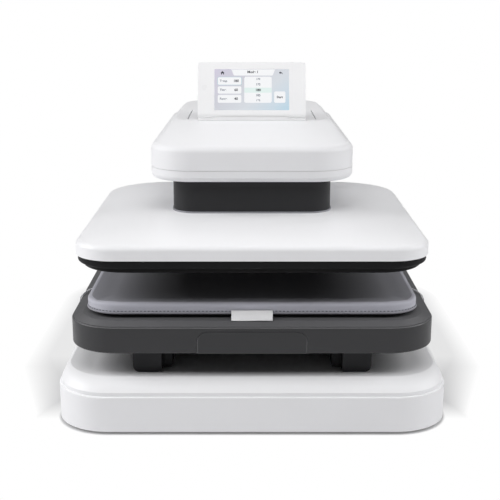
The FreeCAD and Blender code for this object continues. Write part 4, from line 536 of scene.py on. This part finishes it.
coated_plate = non_stick("non_stick_coat")
insulation = fibre_board("fibre_board")
foot_rubber = rubber("foot_rubber", tone(30, 30, 31))
board_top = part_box("control_board")[0].z + 1.7 * MM
head_board = circuit_board("head_board", lambda x, y, z: z - board_top)
print("working surfaces ready")

# %% [markdown]
# ## The display's own coordinates
#
# The display leans back about its hinge, so up the screen is not up in the world. Everything on
# it is described in the screen's own millimetres, right and up from the hinge axis, and one
# function turns those into places on the press. The same turn, as shader maths, lets a material
# know how far up the screen a point is.

# %% Display coordinates
LEAN = math.radians(21)
HINGE = np.array(sum(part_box("hinge_pin"), Vector())) / 2
SCREEN_LOW, SCREEN_HIGH = 5.0, 61.4
SCREEN_HALF = 49.9
GLASS_FRONT = -5.4


def on_display(right, up, out):
    """Screen millimetres to places: up follows the lean, out is along the screen's normal."""
    right, up, out = np.broadcast_arrays(right, up, out)
    y = out * math.cos(LEAN) + up * math.sin(LEAN)
    z = -out * math.sin(LEAN) + up * math.cos(LEAN)
    return np.stack([right, y, z], axis=-1) * MM + HINGE


def up_screen(y, z):
    """Metres up the screen from the hinge axis, as shader maths."""
    return (y - HINGE[1]) * math.sin(LEAN) + (z - HINGE[2]) * math.cos(LEAN)


def out_of_back(x, y, z):
    """Metres behind the display board's own back face, as shader maths."""
    board_back = 0.65 * MM
    behind_hinge = (y - HINGE[1]) * math.cos(LEAN) - (z - HINGE[2]) * math.sin(LEAN)
    return behind_hinge - board_back


display_board = circuit_board("display_board_mask", out_of_back)
print("display leans", round(math.degrees(LEAN)), "degrees")

# %% [markdown]
# ## Lit screen
#
# The screen glows from lilac at its upper left to pale blue at its lower right. The glow is an
# Emission Color worked out from the two screen coordinates, under a smooth coat that reflects
# the studio like the real cover glass.


# %% Lit screen
def lit_screen(name):
    """A glow that shifts from the screen's upper left to its lower right, under a smooth coat."""
    finish = Finish(name, {"Base Color": (0.01, 0.01, 0.012, 1.0), "Roughness": 0.12,
                           "Emission Strength": 0.96, "Coat Weight": 0.6,
                           "Coat Roughness": 0.04})
    x, y, z = finish.axes(finish.place())
    across = (x + SCREEN_HALF * MM) / (2 * SCREEN_HALF * MM)
    down = 1 - (up_screen(y, z) - SCREEN_LOW * MM) / ((SCREEN_HIGH - SCREEN_LOW) * MM)
    glow = finish.add("ShaderNodeValToRGB", {"stops": [
        (0.0, tone(214, 209, 226)), (0.35, tone(212, 213, 221)), (0.62, tone(220, 225, 231)),
        (0.85, tone(208, 223, 234)), (1.0, tone(188, 218, 234))]},
        {"Fac": across * 0.6 + down * 0.4})
    finish.feed("Emission Color", glow)
    return finish.material


def lit_ink(name, colour):
    """One colour of the picture on the screen, with the faint unevenness of a backlight."""
    finish = Finish(name, {"Base Color": (0.01, 0.01, 0.01, 1.0), "Roughness": 0.3,
                           "Emission Strength": 0.95})
    haze = finish.noise(finish.place(), 40.0)
    finish.feed("Emission Color", finish.blend(haze, colour, darker(colour, 0.97)))
    return finish.material


screen_glow = lit_screen("screen_glow")
ink_white = lit_ink("screen_white", tone(247, 248, 250))
ink_green = lit_ink("screen_green", tone(228, 243, 240))
ink_dark = lit_ink("screen_dark", tone(26, 30, 44))
ink_pale = lit_ink("screen_pale", tone(118, 124, 138))
ink_rim = lit_ink("screen_rim", tone(160, 204, 212))
print("screen inks ready")

# %% [markdown]
# ## Dressing the CAD nodes
#
# Each node keeps its shape and gets one of the finishes above. The table is the whole of it, so
# a reader can see at a glance what the press is made of.

# %% Dress the nodes
DRESS = {
    "base_shell": white_base, "base_pan": coated_pan, "rubber_feet": foot_rubber,
    "rail_blocks": grey_rail, "slide_outer": black_zinc, "slide_middle": black_zinc,
    "slide_inner": black_zinc, "tray_shell": grey_tray, "grip_panel": grey_grip,
    "tray_bottom_plate": coated_pan, "tray_beams": coated_pan, "tray_brackets": coated_pan,
    "tray_screws": zinc_steel, "platen_cover": white_cover, "heat_skirt": black_skirt,
    "heating_plate": coated_plate, "heating_element": heat_steel,
    "insulation_board": insulation, "heat_sensors": turned_steel, "press_bridge": zinc_steel,
    "bridge_spacers": turned_steel, "guide_rods": ground_steel, "lift_screw": screw_steel,
    "lift_shroud": dark_shroud, "shroud_collar": pale_collar, "guide_block": milled_aluminium,
    "guide_bushes": bronze, "nut_bearings": turned_steel, "lift_nut": brass,
    "nut_gear": nylon, "motor_pinion": turned_steel, "drive_motor": zinc_steel,
    "arm_frame": coated_frame, "limit_switches": black_plastic,
    "head_lower_shell": white_head, "head_upper_shell": white_head,
    "vent_strips": white_head, "control_board": head_board, "column_frame": coated_frame,
    "column_cover": white_head, "column_bolts": zinc_steel, "housing_screws": zinc_steel,
    "fan_frame": black_plastic, "fan_rotor": black_plastic, "display_bezel": white_display,
    "display_back_shell": white_display, "display_screen": screen_glow,
    "display_board": display_board, "hinge_bar": white_display, "hinge_pin": turned_steel,
    "power_inlet": black_plastic, "rocker_frame": black_plastic,
    "rocker_button": glossy_black, "power_supply": zinc_sheet,
    "lower_platen": powder_coat("black_anodised", tone(44, 44, 46)),
    "pad_core": rubber("pad_foam", tone(190, 190, 184)),
}


def dress(mesh, material):
    """Make one material the only one of a mesh."""
    mesh.materials.clear()
    mesh.materials.append(material)


for node_name, material in DRESS.items():
    dress(nodes[node_name].data, material)
print("dressed", len(DRESS), "of", len(nodes), "nodes")

# %% [markdown]
# ## Surfaces from arrays
#
# The new pieces are surfaces worked out with numpy. A surface is a grid of points: rows are one
# parameter, columns the other. One helper turns the grid into faces, and joins the last column
# to the first where the surface goes round.


# %% Surfaces from arrays
def grid_faces(rows, columns, closed):
    """Index quads of a grid: each face takes a point, its neighbour, and the two after them."""
    index = np.arange(rows * columns).reshape(rows, columns)
    after = np.roll(index, -1, axis=1) if closed else index[:, 1:]
    first = index if closed else index[:, :-1]
    return np.stack([first[:-1], after[:-1], after[1:], first[1:]], axis=-1).reshape(-1, 4)


def piece(name, points, faces, material, smooth=True):
    """A mesh object from arrays of points and faces, at the origin."""
    mesh = bpy.data.meshes.new(name)
    mesh.from_pydata(points.reshape(-1, 3).tolist(), [], faces.tolist())
    mesh.polygons.foreach_set("use_smooth", np.full(len(mesh.polygons), smooth))
    mesh.materials.append(material)
    mesh.update()
    return add_object(name, mesh)


def lengths_along(points):
    """How far along a row of points each one lies: the running sum of the steps."""
    return np.concatenate([[0], np.cumsum(np.linalg.norm(np.diff(points, axis=0), axis=1))])


def outline(half_x, half_y, corner, count):
    """Points of a rounded rectangle, evenly spaced by length: arcs joined by straight sides."""
    turns = np.radians(np.linspace(0, 90, 13))
    arcs = []
    for start, x, y in ((270, 1, -1), (0, 1, 1), (90, -1, 1), (180, -1, -1)):
        angles = turns + math.radians(start)
        arcs.append(np.stack([x * (half_x - corner) + corner * np.cos(angles),
                              y * (half_y - corner) + corner * np.sin(angles)], axis=-1))
    ring = np.concatenate(arcs + [arcs[0][:1]])
    length = lengths_along(ring)
    wanted = np.linspace(0, length[-1], count, endpoint=False)
    return np.stack([np.interp(wanted, length, ring[:, axis]) for axis in (0, 1)], axis=-1)


def tube(path, side, other, radius, count):
    """Circles about the points of a path: cosine along one direction, sine along the other."""
    angle = np.linspace(0, 2 * math.pi, count, endpoint=False)
    circle = (side[:, None] * np.cos(angle)[None, :, None]
              + other[:, None] * np.sin(angle)[None, :, None])
    return path[:, None] + circle * np.reshape(radius, (-1, 1, 1))


def face_corners(mesh):
    """The number of the point at each corner of each face."""
    corners = np.empty(len(mesh.loops), dtype=np.int64)
    mesh.loops.foreach_get("vertex_index", corners)
    return corners


def unwrap(mesh, places):
    """Write the UV map: a place on the cloth for each corner of each face."""
    layer = mesh.uv_layers.new(name="cloth")
    layer.data.foreach_set("uv", places.ravel())


print("array helpers ready")

# %% [markdown]
# ## The press pad
#
# The work lies on a foam pad under a sewn cloth cover: a flat top with a low crown, an upright
# band round the sides, a stitched channel near its foot and a corded edge. It could be a
# rounded box, but cloth pulled over foam swells between its seams. So a closed grid is made,
# pinned at the channel, and swollen by Blender's Cloth with a little pressure. The result is
# kept inside the space of the CAD pad, so the press still closes on it.


# %% Cloth finish
def woven(name, light, dark, thread=0.9 * MM):
    """Plain weave on the UV map, which is in metres: warp and weft waves take turns on top."""
    finish = Finish(name, {"Specular IOR Level": 0.35, "Sheen Weight": 0.25,
                           "Sheen Roughness": 0.5})
    u, v = finish.cloth_place()
    turn = 2 * math.pi / thread
    warp = (u * turn).sine()
    weft = (v * turn).sine()
    height = warp * weft * 0.5 + 0.5
    blotch = finish.noise(finish.place(), 14.0, 3.0)
    finish.tint(height * 0.6 + blotch * 0.4, dark, light)
    finish.roughen(blotch, 0.62, 0.8)
    finish.relief(height, 0.12)
    return finish.material


pad_cloth = woven("pad_cloth", tone(160, 160, 168), tone(128, 128, 136))
# The band is the top's cloth made paler: painted light for the front light that falls on it.
lit_band_cloth = woven("lit_band_cloth", tone(204, 204, 214), tone(178, 178, 188))
piping_cloth = woven("piping_cloth", tone(168, 168, 176), tone(140, 140, 148), 0.7 * MM)
thread_grey = rubber("stitch_thread", tone(122, 122, 130))
print("cloths ready")


# %% Pad grid
pad_low, pad_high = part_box("pad_cover")
PAD_MIDDLE = np.array([(pad_low.x + pad_high.x) / 2, (pad_low.y + pad_high.y) / 2])
PAD_HALF = np.array([(pad_high.x - pad_low.x) / 2, (pad_high.y - pad_low.y) / 2])
PAD_CORNER = 38 * MM
PIPING = 1.5 * MM
CHANNEL = pad_low.z + 3.8 * MM
BAND_PROFILE = np.array([
    (5.0, 0.3), (2.4, 0.3), (1.6, 1.6), (1.2, 3.8), (0.35, 4.9), (0.12, 6.6), (0.1, 8.8),
    (0.15, 10.8), (0.6, 12.3), (1.6, 13.2), (3.0, 13.7), (4.6, 13.8)]) * MM
TOP_INSET, TOP_LIFT = BAND_PROFILE[-1]
TOP_HALF = PAD_HALF - TOP_INSET
TOP_CORNER = PAD_CORNER - TOP_INSET
CROWN = 0.6 * MM
TINY = 1e-9


def corner_way(flat):
    """For places about the pad's middle: the middle of the corner arc that each belongs to, and
    the direction from there to the place, one long."""
    core = np.clip(flat, TOP_CORNER - TOP_HALF, TOP_HALF - TOP_CORNER)
    away = flat - core
    return core, away / np.maximum(np.linalg.norm(away, axis=-1, keepdims=True), TINY)


def pad_top(cells):
    """A square grid drawn to the rounded outline: inner points keep the rectangle's shape, and
    outer ones follow the round corners, by the fourth power of how far out they are."""
    side = np.linspace(-1, 1, cells + 1)
    square = np.stack(np.meshgrid(side, side), axis=-1)
    reach = np.abs(square).max(axis=-1, keepdims=True)
    flat = square * TOP_HALF
    core, way = corner_way(flat / np.maximum(reach, TINY))
    rounded = core + TOP_CORNER * way
    share = reach ** 4
    spread = flat * (1 - share) + rounded * reach * share
    height = pad_low.z + TOP_LIFT + CROWN * (1 - reach ** 2)
    return np.concatenate([spread + PAD_MIDDLE, height], axis=-1)


def rim_of(grid):
    """The border of a square grid, once round."""
    return np.concatenate([grid[0, :-1], grid[:-1, -1], grid[-1, :0:-1], grid[:0:-1, 0]])


def pad_band(top):
    """The band: each profile point pushes the top's border out by the inset it has gained."""
    rim = rim_of(top)
    way = corner_way(rim[:, :2] - PAD_MIDDLE)[1]
    out = (TOP_INSET - BAND_PROFILE[:, 0])[:, None, None]
    spread = rim[None, :, :2] + way[None] * out
    height = np.broadcast_to((pad_low.z + BAND_PROFILE[:, 1])[:, None], spread.shape[:2])
    return np.concatenate([spread, height[..., None]], axis=-1)


CELLS = 84
top = pad_top(CELLS)
band = pad_band(top)
bottom = top.copy()
bottom_inset, bottom_lift = BAND_PROFILE[0]
bottom[..., :2] = PAD_MIDDLE + (top[..., :2] - PAD_MIDDLE) * (PAD_HALF - bottom_inset) / TOP_HALF
bottom[..., 2] = pad_low.z + bottom_lift
print("pad grid", top.shape, "band", band.shape)


# %% Pad mesh
def pad_mesh():
    """Top, band and bottom joined at their shared borders, with a UV map in metres."""
    count = (CELLS + 1) ** 2
    top_faces = grid_faces(CELLS + 1, CELLS + 1, False)
    bottom_faces = top_faces[:, ::-1] + count
    band_faces = grid_faces(len(BAND_PROFILE), 4 * CELLS, True) + 2 * count
    points = np.concatenate([grid.reshape(-1, 3) for grid in (top, bottom, band)])
    pad = piece("press_pad", points, np.concatenate([top_faces, bottom_faces, band_faces]),
                pad_cloth)
    mesh = pad.data
    rim = rim_of(top)
    around = lengths_along(np.concatenate([rim, rim[:1]]))
    once_round = around[-1]
    band_uv = np.stack(np.meshgrid(around[:-1], lengths_along(BAND_PROFILE)), axis=-1)
    point_uv = np.concatenate([points[:2 * count, :2], band_uv.reshape(-1, 2)])
    face_uv = point_uv[face_corners(mesh)].reshape(-1, 4, 2)
    is_band = np.arange(len(mesh.polygons)) >= len(top_faces) + len(bottom_faces)
    across = face_uv[..., 0]
    closing = is_band & (np.ptp(across, axis=1) > once_round / 2)
    across[closing[:, None] & (across < once_round / 2)] += once_round
    unwrap(mesh, face_uv)
    mesh.materials.append(lit_band_cloth)
    mesh.polygons.foreach_set("material_index", is_band.astype(np.int64))
    return pad


press_pad = pad_mesh()
print("pad faces", len(press_pad.data.polygons))


# %% Swell the pad
def weld(thing, distance=0.02 * MM):
    """Merge the borders that lie on each other into one closed skin, with its faces outwards."""
    skin = bmesh.new()
    skin.from_mesh(thing.data)
    bmesh.ops.remove_doubles(skin, verts=skin.verts, dist=distance)
    bmesh.ops.recalc_face_normals(skin, faces=skin.faces)
    skin.to_mesh(thing.data)
    skin.free()


def positions(mesh):
    """The points of a mesh as an array."""
    points = np.empty(len(mesh.vertices) * 3)
    mesh.vertices.foreach_get("co", points)
    return points.reshape(-1, 3)


def move_points(mesh, places):
    """Put every point of a mesh in a new place."""
    mesh.vertices.foreach_set("co", places.ravel())
    mesh.update()


SWELL_FRAMES = 20


def swell(thing, cap):
    """Blow the skin up with Cloth for some frames, then keep each point within the cap."""
    start = positions(thing.data)
    held = np.flatnonzero(start[:, 2] < CHANNEL + 0.2 * MM)
    group = thing.vertex_groups.new(name="held")
    group.add(held.tolist(), 1.0, "REPLACE")
    cloth = thing.modifiers.new("cloth", "CLOTH")
    cloth.settings.quality = 6
    cloth.settings.mass = 0.3
    cloth.settings.vertex_group_mass = "held"
    cloth.settings.use_pressure = True
    cloth.settings.uniform_pressure_force = 4.0
    cloth.settings.effector_weights.gravity = 0
    cloth.point_cache.frame_start = 1
    cloth.point_cache.frame_end = SWELL_FRAMES
    for number in range(1, SWELL_FRAMES + 1):
        bpy.context.scene.frame_set(number)
    graph = bpy.context.evaluated_depsgraph_get()
    swollen = positions(thing.evaluated_get(graph).data)
    thing.modifiers.remove(cloth)
    thing.vertex_groups.remove(group)
    bpy.context.scene.frame_set(1)
    move = swollen - start
    far = np.maximum(np.linalg.norm(move, axis=1, keepdims=True), TINY)
    kept = start + move * np.minimum(1, cap / far)
    move_points(thing.data, kept)
    return np.linalg.norm(kept - start, axis=1)


def keep_inside(thing):
    """Hold the swollen pad inside the CAD pad's box, and flat where it rests."""
    foot_gap = 0.25 * MM
    top_gap = 0.1 * MM
    low = np.array([*(PAD_MIDDLE - PAD_HALF), pad_low.z + foot_gap])
    high = np.array([*(PAD_MIDDLE + PAD_HALF), pad_high.z - top_gap])
    move_points(thing.data, np.clip(positions(thing.data), low, high))


weld(press_pad)
moved = swell(press_pad, 1.2 * MM)
print("pad swelled by up to", round(moved.max() / MM, 2), "mm")
keep_inside(press_pad)
smoother = press_pad.modifiers.new("smoother", "SUBSURF")
smoother.levels = 1
smoother.render_levels = 1
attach(press_pad, "drawer")
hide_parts("pad_cover", "pad_core")
print("pad ready")

# %% [markdown]
# ## Piping and stitches
#
# Two details make the pad read as sewn: a cord edge along its foot and a row of stitches in the
# channel above it. The cord is a circle carried along the outline. A stitch is a short capsule,
# made once and placed a few hundred times by array maths, so each has only a few faces.


# %% Piping
UP = np.array([[0, 0, 1.0]])
CORD_SIDES = 10


def pad_outline(inset, height, count):
    """The pad's outline drawn in, at a height, with its outward normals."""
    half = PAD_HALF - inset
    flat = outline(half[0], half[1], PAD_CORNER - inset, count)
    ahead = np.roll(flat, -1, axis=0) - np.roll(flat, 1, axis=0)
    ahead /= np.linalg.norm(ahead, axis=1, keepdims=True)
    normal = np.stack([ahead[:, 1], -ahead[:, 0], np.zeros(count)], axis=-1)
    path = np.column_stack([flat + PAD_MIDDLE, np.full(count, height)])
    return path, normal


def add_piping():
    """The corded edge at the foot of the pad: a circle carried along the outline."""
    inset = PIPING + 0.1 * MM
    path, normal = pad_outline(inset, pad_low.z + inset, count=360)
    rings = tube(path, normal, UP, PIPING, CORD_SIDES)
    rings = np.concatenate([rings, rings[:1]])
    faces = grid_faces(len(rings), CORD_SIDES, True)
    cord_edge = piece("pad_piping", rings, faces, piping_cloth)
    row, column = np.divmod(face_corners(cord_edge.data), CORD_SIDES)
    along_step = 4.2 * MM
    round_step = 0.6 * MM
    unwrap(cord_edge.data, np.column_stack([row * along_step, column * round_step]))
    weld(cord_edge)
    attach(cord_edge, "drawer")
    return cord_edge


print("piping faces", len(add_piping().data.polygons))


# %% Stitches
def capsule(length, radius, rings=5, sides=6):
    """A rod with round ends: rings whose radius falls to nothing at both ends."""
    along = np.linspace(-1, 1, rings + 2)
    width = radius * np.sqrt(np.clip(1 - along ** 4, 0, 1))
    path = np.outer(along, [length / 2, 0, 0])
    return tube(path, np.array([[0, 1.0, 0]]), UP, width, sides)


def add_stitches():
    """Capsules laid along the channel, each turned to follow the outline."""
    pitch = 4.4 * MM
    length = 2.9 * MM
    radius = 0.34 * MM
    inset = 0.75 * MM
    around = 4 * PAD_HALF.sum() - (8 - 2 * math.pi) * PAD_CORNER
    count = int(around / pitch)
    path, normal = pad_outline(inset, CHANNEL, count)
    ahead = np.cross(UP, normal)
    one = capsule(length, radius)
    rows, sides = one.shape[:2]
    shape = one.reshape(-1, 3)
    points = (path[:, None] + ahead[:, None] * shape[None, :, :1]
              + normal[:, None] * shape[None, :, 1:2] + UP * shape[None, :, 2:])
    faces = grid_faces(rows, sides, True)[None] + (np.arange(count) * len(shape))[:, None, None]
    stitches = piece("pad_stitches", points, faces.reshape(-1, 4), thread_grey)
    weld(stitches, 0.001 * MM)
    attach(stitches, "drawer")
    return count


print("stitches", add_stitches())

# %% [markdown]
# ## The sewn tab
#
# A blank tab of woven tape hangs from the pad's front edge and rests on the tray's bevel. It is a
# small sheet: nearly straight across, and bowed a little along its length, then given a
# thickness.


# %% Tab
def add_tab():
    """A sheet that leaves the pad level, bows, and comes down on the bevel."""
    low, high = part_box("pad_tab")
    rows = 13
    columns = 25
    inset = 0.5 * MM
    bow = 0.35 * MM
    wave = 0.15 * MM
    wave_turn = 150
    across = np.linspace(low.x, high.x, columns)
    share = np.linspace(0, 1, rows)
    y = np.linspace(high.y, low.y, rows)
    z = np.linspace(high.z - inset, low.z + inset, rows) + bow * np.sin(math.pi * share)
    x_grid, y_grid = np.meshgrid(across, y)
    z_grid = z[:, None] + wave * np.sin(x_grid * wave_turn) * share[:, None]
    points = np.stack([x_grid, y_grid, z_grid], axis=-1)
    tape = woven("tab_tape", tone(253, 253, 253), tone(240, 240, 242), 0.5 * MM)
    tab = piece("sewn_tab", points, grid_faces(rows, columns, False)[:, ::-1], tape)
    length = lengths_along(np.column_stack([y, z]))
    row, column = np.divmod(face_corners(tab.data), columns)
    unwrap(tab.data, np.column_stack([across[column], length[row]]))
    thick = tab.modifiers.new("thickness", "SOLIDIFY")
    thick.thickness = 0.5 * MM
    thick.offset = 0
    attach(tab, "drawer")
    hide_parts("pad_tab")
    return length[-1]


print("tab length", round(add_tab() / MM, 1), "mm")

# %% [markdown]
# ## The elastic straps
#
# Elastic at each side holds the pad's cover: it starts beside the platen, lies over the tray's
# bevel, goes down its side and is tucked under its edge. It is a round of braided elastic,
# carried along a smooth path. The braid is two waves that wind opposite ways round it.


# %% Straps
def braided(name):
    """Braid on the UV map, a share of the way round and metres along: two diagonal waves that
    cross, in pale elastic."""
    finish = Finish(name, {"Specular IOR Level": 0.4})
    u, v = finish.cloth_place()
    around = 60
    along = 6000
    one = (u * around + v * along).sine()
    other = (u * around - v * along).sine()
    height = one * other * 0.5 + 0.5
    finish.tint(height, tone(236, 236, 239), tone(253, 253, 254))
    finish.feed("Roughness", finish.range(height, 0.5, 0.75))
    finish.relief(height, 0.05)
    return finish.material


def smooth_path(corners, count):
    """A path through the middles of a polyline's runs: quadratic spans that round each corner,
    each of them a count of points."""
    corners = np.asarray(corners)
    middles = (corners[:-1] + corners[1:]) / 2
    knots = np.concatenate([corners[:1], middles[1:-1], corners[-1:]])
    t = np.linspace(0, 1, count)[:, None]
    spans = [(1 - t) ** 2 * a + 2 * t * (1 - t) * b + t ** 2 * c
             for a, b, c in zip(knots[:-1], corners[1:-1], knots[1:])]
    return np.concatenate([spans[0]] + [span[1:] for span in spans[1:]])


def carried_round(path, radius, sides):
    """A circle carried along an open path, kept square to it, its ends drawn to points."""
    ahead = np.gradient(path, axis=0)
    ahead /= np.linalg.norm(ahead, axis=1, keepdims=True)
    never_ahead = [0, 1.0, 0.2]
    side = np.cross(ahead, never_ahead)
    side /= np.linalg.norm(side, axis=1, keepdims=True)
    width = np.full(len(path), radius)
    width[[0, -1]] = 0.0001 * MM
    return tube(path, side, np.cross(ahead, side), width, sides)


def add_straps():
    """Both straps in one piece. The route is the right one's, from the platen's side over the
    bevel, down beside the tray and under its edge, and the left one is its mirror image."""
    low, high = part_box("pad_straps")
    tray_low, tray_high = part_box("tray_shell")
    platen_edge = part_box("lower_platen")[1].x
    radius = 1.0 * MM
    clear = 1.3 * MM
    deck = tray_high.z + clear
    beside = tray_high.x + clear
    front = low.y + radius
    under = tray_low.z - clear
    bevel = 7.8 * MM
    slant = 5 * MM
    bevel_foot = tray_high.z - 2.2 * MM
    wall_top = tray_high.z - 10 * MM
    wall_foot = under + 6 * MM
    tuck = 8 * MM
    route = np.array([(platen_edge + clear, high.y - radius, deck),
                      (tray_high.x - bevel, high.y - slant, deck),
                      (beside, front, bevel_foot),
                      (beside, front, wall_top),
                      (beside, front, wall_foot),
                      (beside, front, under),
                      (tray_high.x - tuck, front, under)])
    shapes, quads, places = [], [], []
    for side in (-1, 1):
        path = smooth_path(route * (side, 1, 1), count=14)
        start = len(shapes) * len(path) * CORD_SIDES
        shapes.append(carried_round(path, radius, CORD_SIDES))
        quads.append(grid_faces(len(path), CORD_SIDES, True)[:, ::side] + start)
        places.append(np.stack(np.meshgrid(np.linspace(0, 1, CORD_SIDES), lengths_along(path)),
                               axis=-1))
    straps = piece("elastic_straps", np.concatenate(shapes), np.concatenate(quads),
                   braided("braided_elastic"))
    corner_numbers = face_corners(straps.data)
    unwrap(straps.data, np.concatenate(places).reshape(-1, 2)[corner_numbers])
    weld(straps, 0.005 * MM)
    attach(straps, "drawer")
    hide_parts("pad_straps")
    return len(straps.data.polygons)


print("strap faces", add_straps())

# %% [markdown]
# ## The picture on the screen
#
# The screen shows a setting page: a title, three values at the left, a wheel of numbers, and a
# start button. Each box is a rounded outline filled as one face, and the words are text made
# into mesh. They lie a few hundredths of a millimetre apart on the glass, so none flickers.


# %% Screen boxes
LAYER = 0.04


def spot(across, down):
    """A share of the screen's width and height, to screen millimetres."""
    right = -SCREEN_HALF + 2 * SCREEN_HALF * across
    return right, SCREEN_HIGH - (SCREEN_HIGH - SCREEN_LOW) * down


def on_glass(flat, middle, layer):
    """Places of flat points about a middle, at a layer in front of the glass."""
    return on_display(flat[:, 0] + middle[0], flat[:, 1] + middle[1], GLASS_FRONT - LAYER * layer)


def screen_patch(name, flat, middle, layer, material):
    """An outline about a middle, filled as one face."""
    places = on_glass(flat, middle, layer)
    patch = piece(name, places, np.arange(len(flat))[None], material, smooth=False)
    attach(patch, "display")
    return patch


def screen_box(name, left, top_share, right, bottom_share, corner, layer, material):
    """A filled rounded rectangle, between shares of the screen's width and height."""
    x0, z1 = spot(left, top_share)
    x1, z0 = spot(right, bottom_share)
    ring = outline((x1 - x0) / 2, (z1 - z0) / 2, corner, count=48)
    return screen_patch(name, ring, ((x0 + x1) / 2, (z0 + z1) / 2), layer, material)


boxes = [
    screen_box("screen_wheel", 0.40, 0.185, 0.767, 0.82, 1.4, 1, ink_white),
    screen_box("screen_wheel_middle", 0.40, 0.452, 0.767, 0.575, 0.3, 2, ink_green),
    screen_box("screen_button", 0.80, 0.545, 0.95, 0.82, 1.6, 1, ink_white),
    screen_box("screen_rim_first", 0.04, 0.19, 0.366, 0.389, 2.0, 1, ink_rim),
]
for number, (start, end) in enumerate(((0.197, 0.382), (0.42, 0.597), (0.628, 0.82))):
    boxes.append(screen_box(f"screen_value_{number}", 0.045, start, 0.361, end, 1.6, 2, ink_white))
print("screen boxes", len(boxes))


# %% Screen words
def screen_text(name, words, across, down, height, material, layer=3, align="CENTER"):
    """Text made into mesh, its strokes a little fattened, then laid on the glass."""
    data = bpy.data.curves.new(name, "FONT")
    data.body = words
    data.align_x = align
    data.align_y = "CENTER"
    data.size = height
    data.offset = 0.03 * height
    holder = add_object(name + "_text", data)
    graph = bpy.context.evaluated_depsgraph_get()
    mesh = bpy.data.meshes.new_from_object(holder.evaluated_get(graph))
    bpy.data.objects.remove(holder)
    move_points(mesh, on_glass(positions(mesh), spot(across, down), layer))
    dress(mesh, material)
    words_piece = add_object(name, mesh)
    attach(words_piece, "display")


VALUES = (("Temp", 180, 0.29), ("Time", 60, 0.508), ("Force", 40, 0.724))
WHEEL = ((170, 0.246, 3.6), (175, 0.375, 4.2), (180, 0.512, 5.0), (185, 0.64, 4.2),
         (190, 0.762, 3.6))
screen_text("screen_heading", "Mode 1", 0.515, 0.072, 4.8, ink_dark)
for row, (label, reading, level) in enumerate(VALUES):
    screen_text(f"screen_label_{row}", label, 0.072, level, 4.2, ink_pale, align="LEFT")
    screen_text(f"screen_reading_{row}", str(reading), 0.29, level, 4.8, ink_dark)
for row, (reading, level, height) in enumerate(WHEEL):
    ink = ink_dark if reading == 180 else ink_pale
    screen_text(f"screen_wheel_{row}", str(reading), 0.585, level, height, ink)
screen_text("screen_start", "Start", 0.875, 0.683, 4.2, ink_dark)
print("screen words", 2 + 2 * len(VALUES) + len(WHEEL))


# %% Screen icons
HOUSE = [(-0.75, -0.8), (-0.25, -0.8), (-0.25, -0.2), (0.25, -0.2), (0.25, -0.8), (0.75, -0.8),
         (0.75, 0.05), (1.0, 0.05), (0.0, 0.95), (-1.0, 0.05), (-0.75, 0.05)]
ARROW = [(-1.0, 0.15), (-0.2, 0.9), (-0.2, 0.42), (0.35, 0.35), (0.85, -0.1), (0.95, -0.8),
         (0.6, -0.3), (0.2, -0.12), (-0.2, -0.12), (-0.2, -0.6)]
ICON_SIZE = 2.6
TITLE_TOP = SCREEN_HALF * 0.58
TITLE_FOOT = SCREEN_HALF * 0.5
TITLE = [(-TITLE_FOOT - 1.2, -3.6), (-TITLE_FOOT, -4.2), (TITLE_FOOT, -4.2),
         (TITLE_FOOT + 1.2, -3.6), (TITLE_TOP, 3.6), (TITLE_TOP + 1, 4.2),
         (-TITLE_TOP - 1, 4.2), (-TITLE_TOP, 3.6)]
shapes = [
    screen_patch("screen_title", np.array(TITLE), spot(0.52, 0.082), 1, ink_white),
    screen_patch("screen_home", np.array(HOUSE) * ICON_SIZE, spot(0.108, 0.092), 3, ink_dark),
    screen_patch("screen_back", np.array(ARROW) * ICON_SIZE, spot(0.89, 0.095), 3, ink_dark),
]
print("screen shapes", len(shapes))
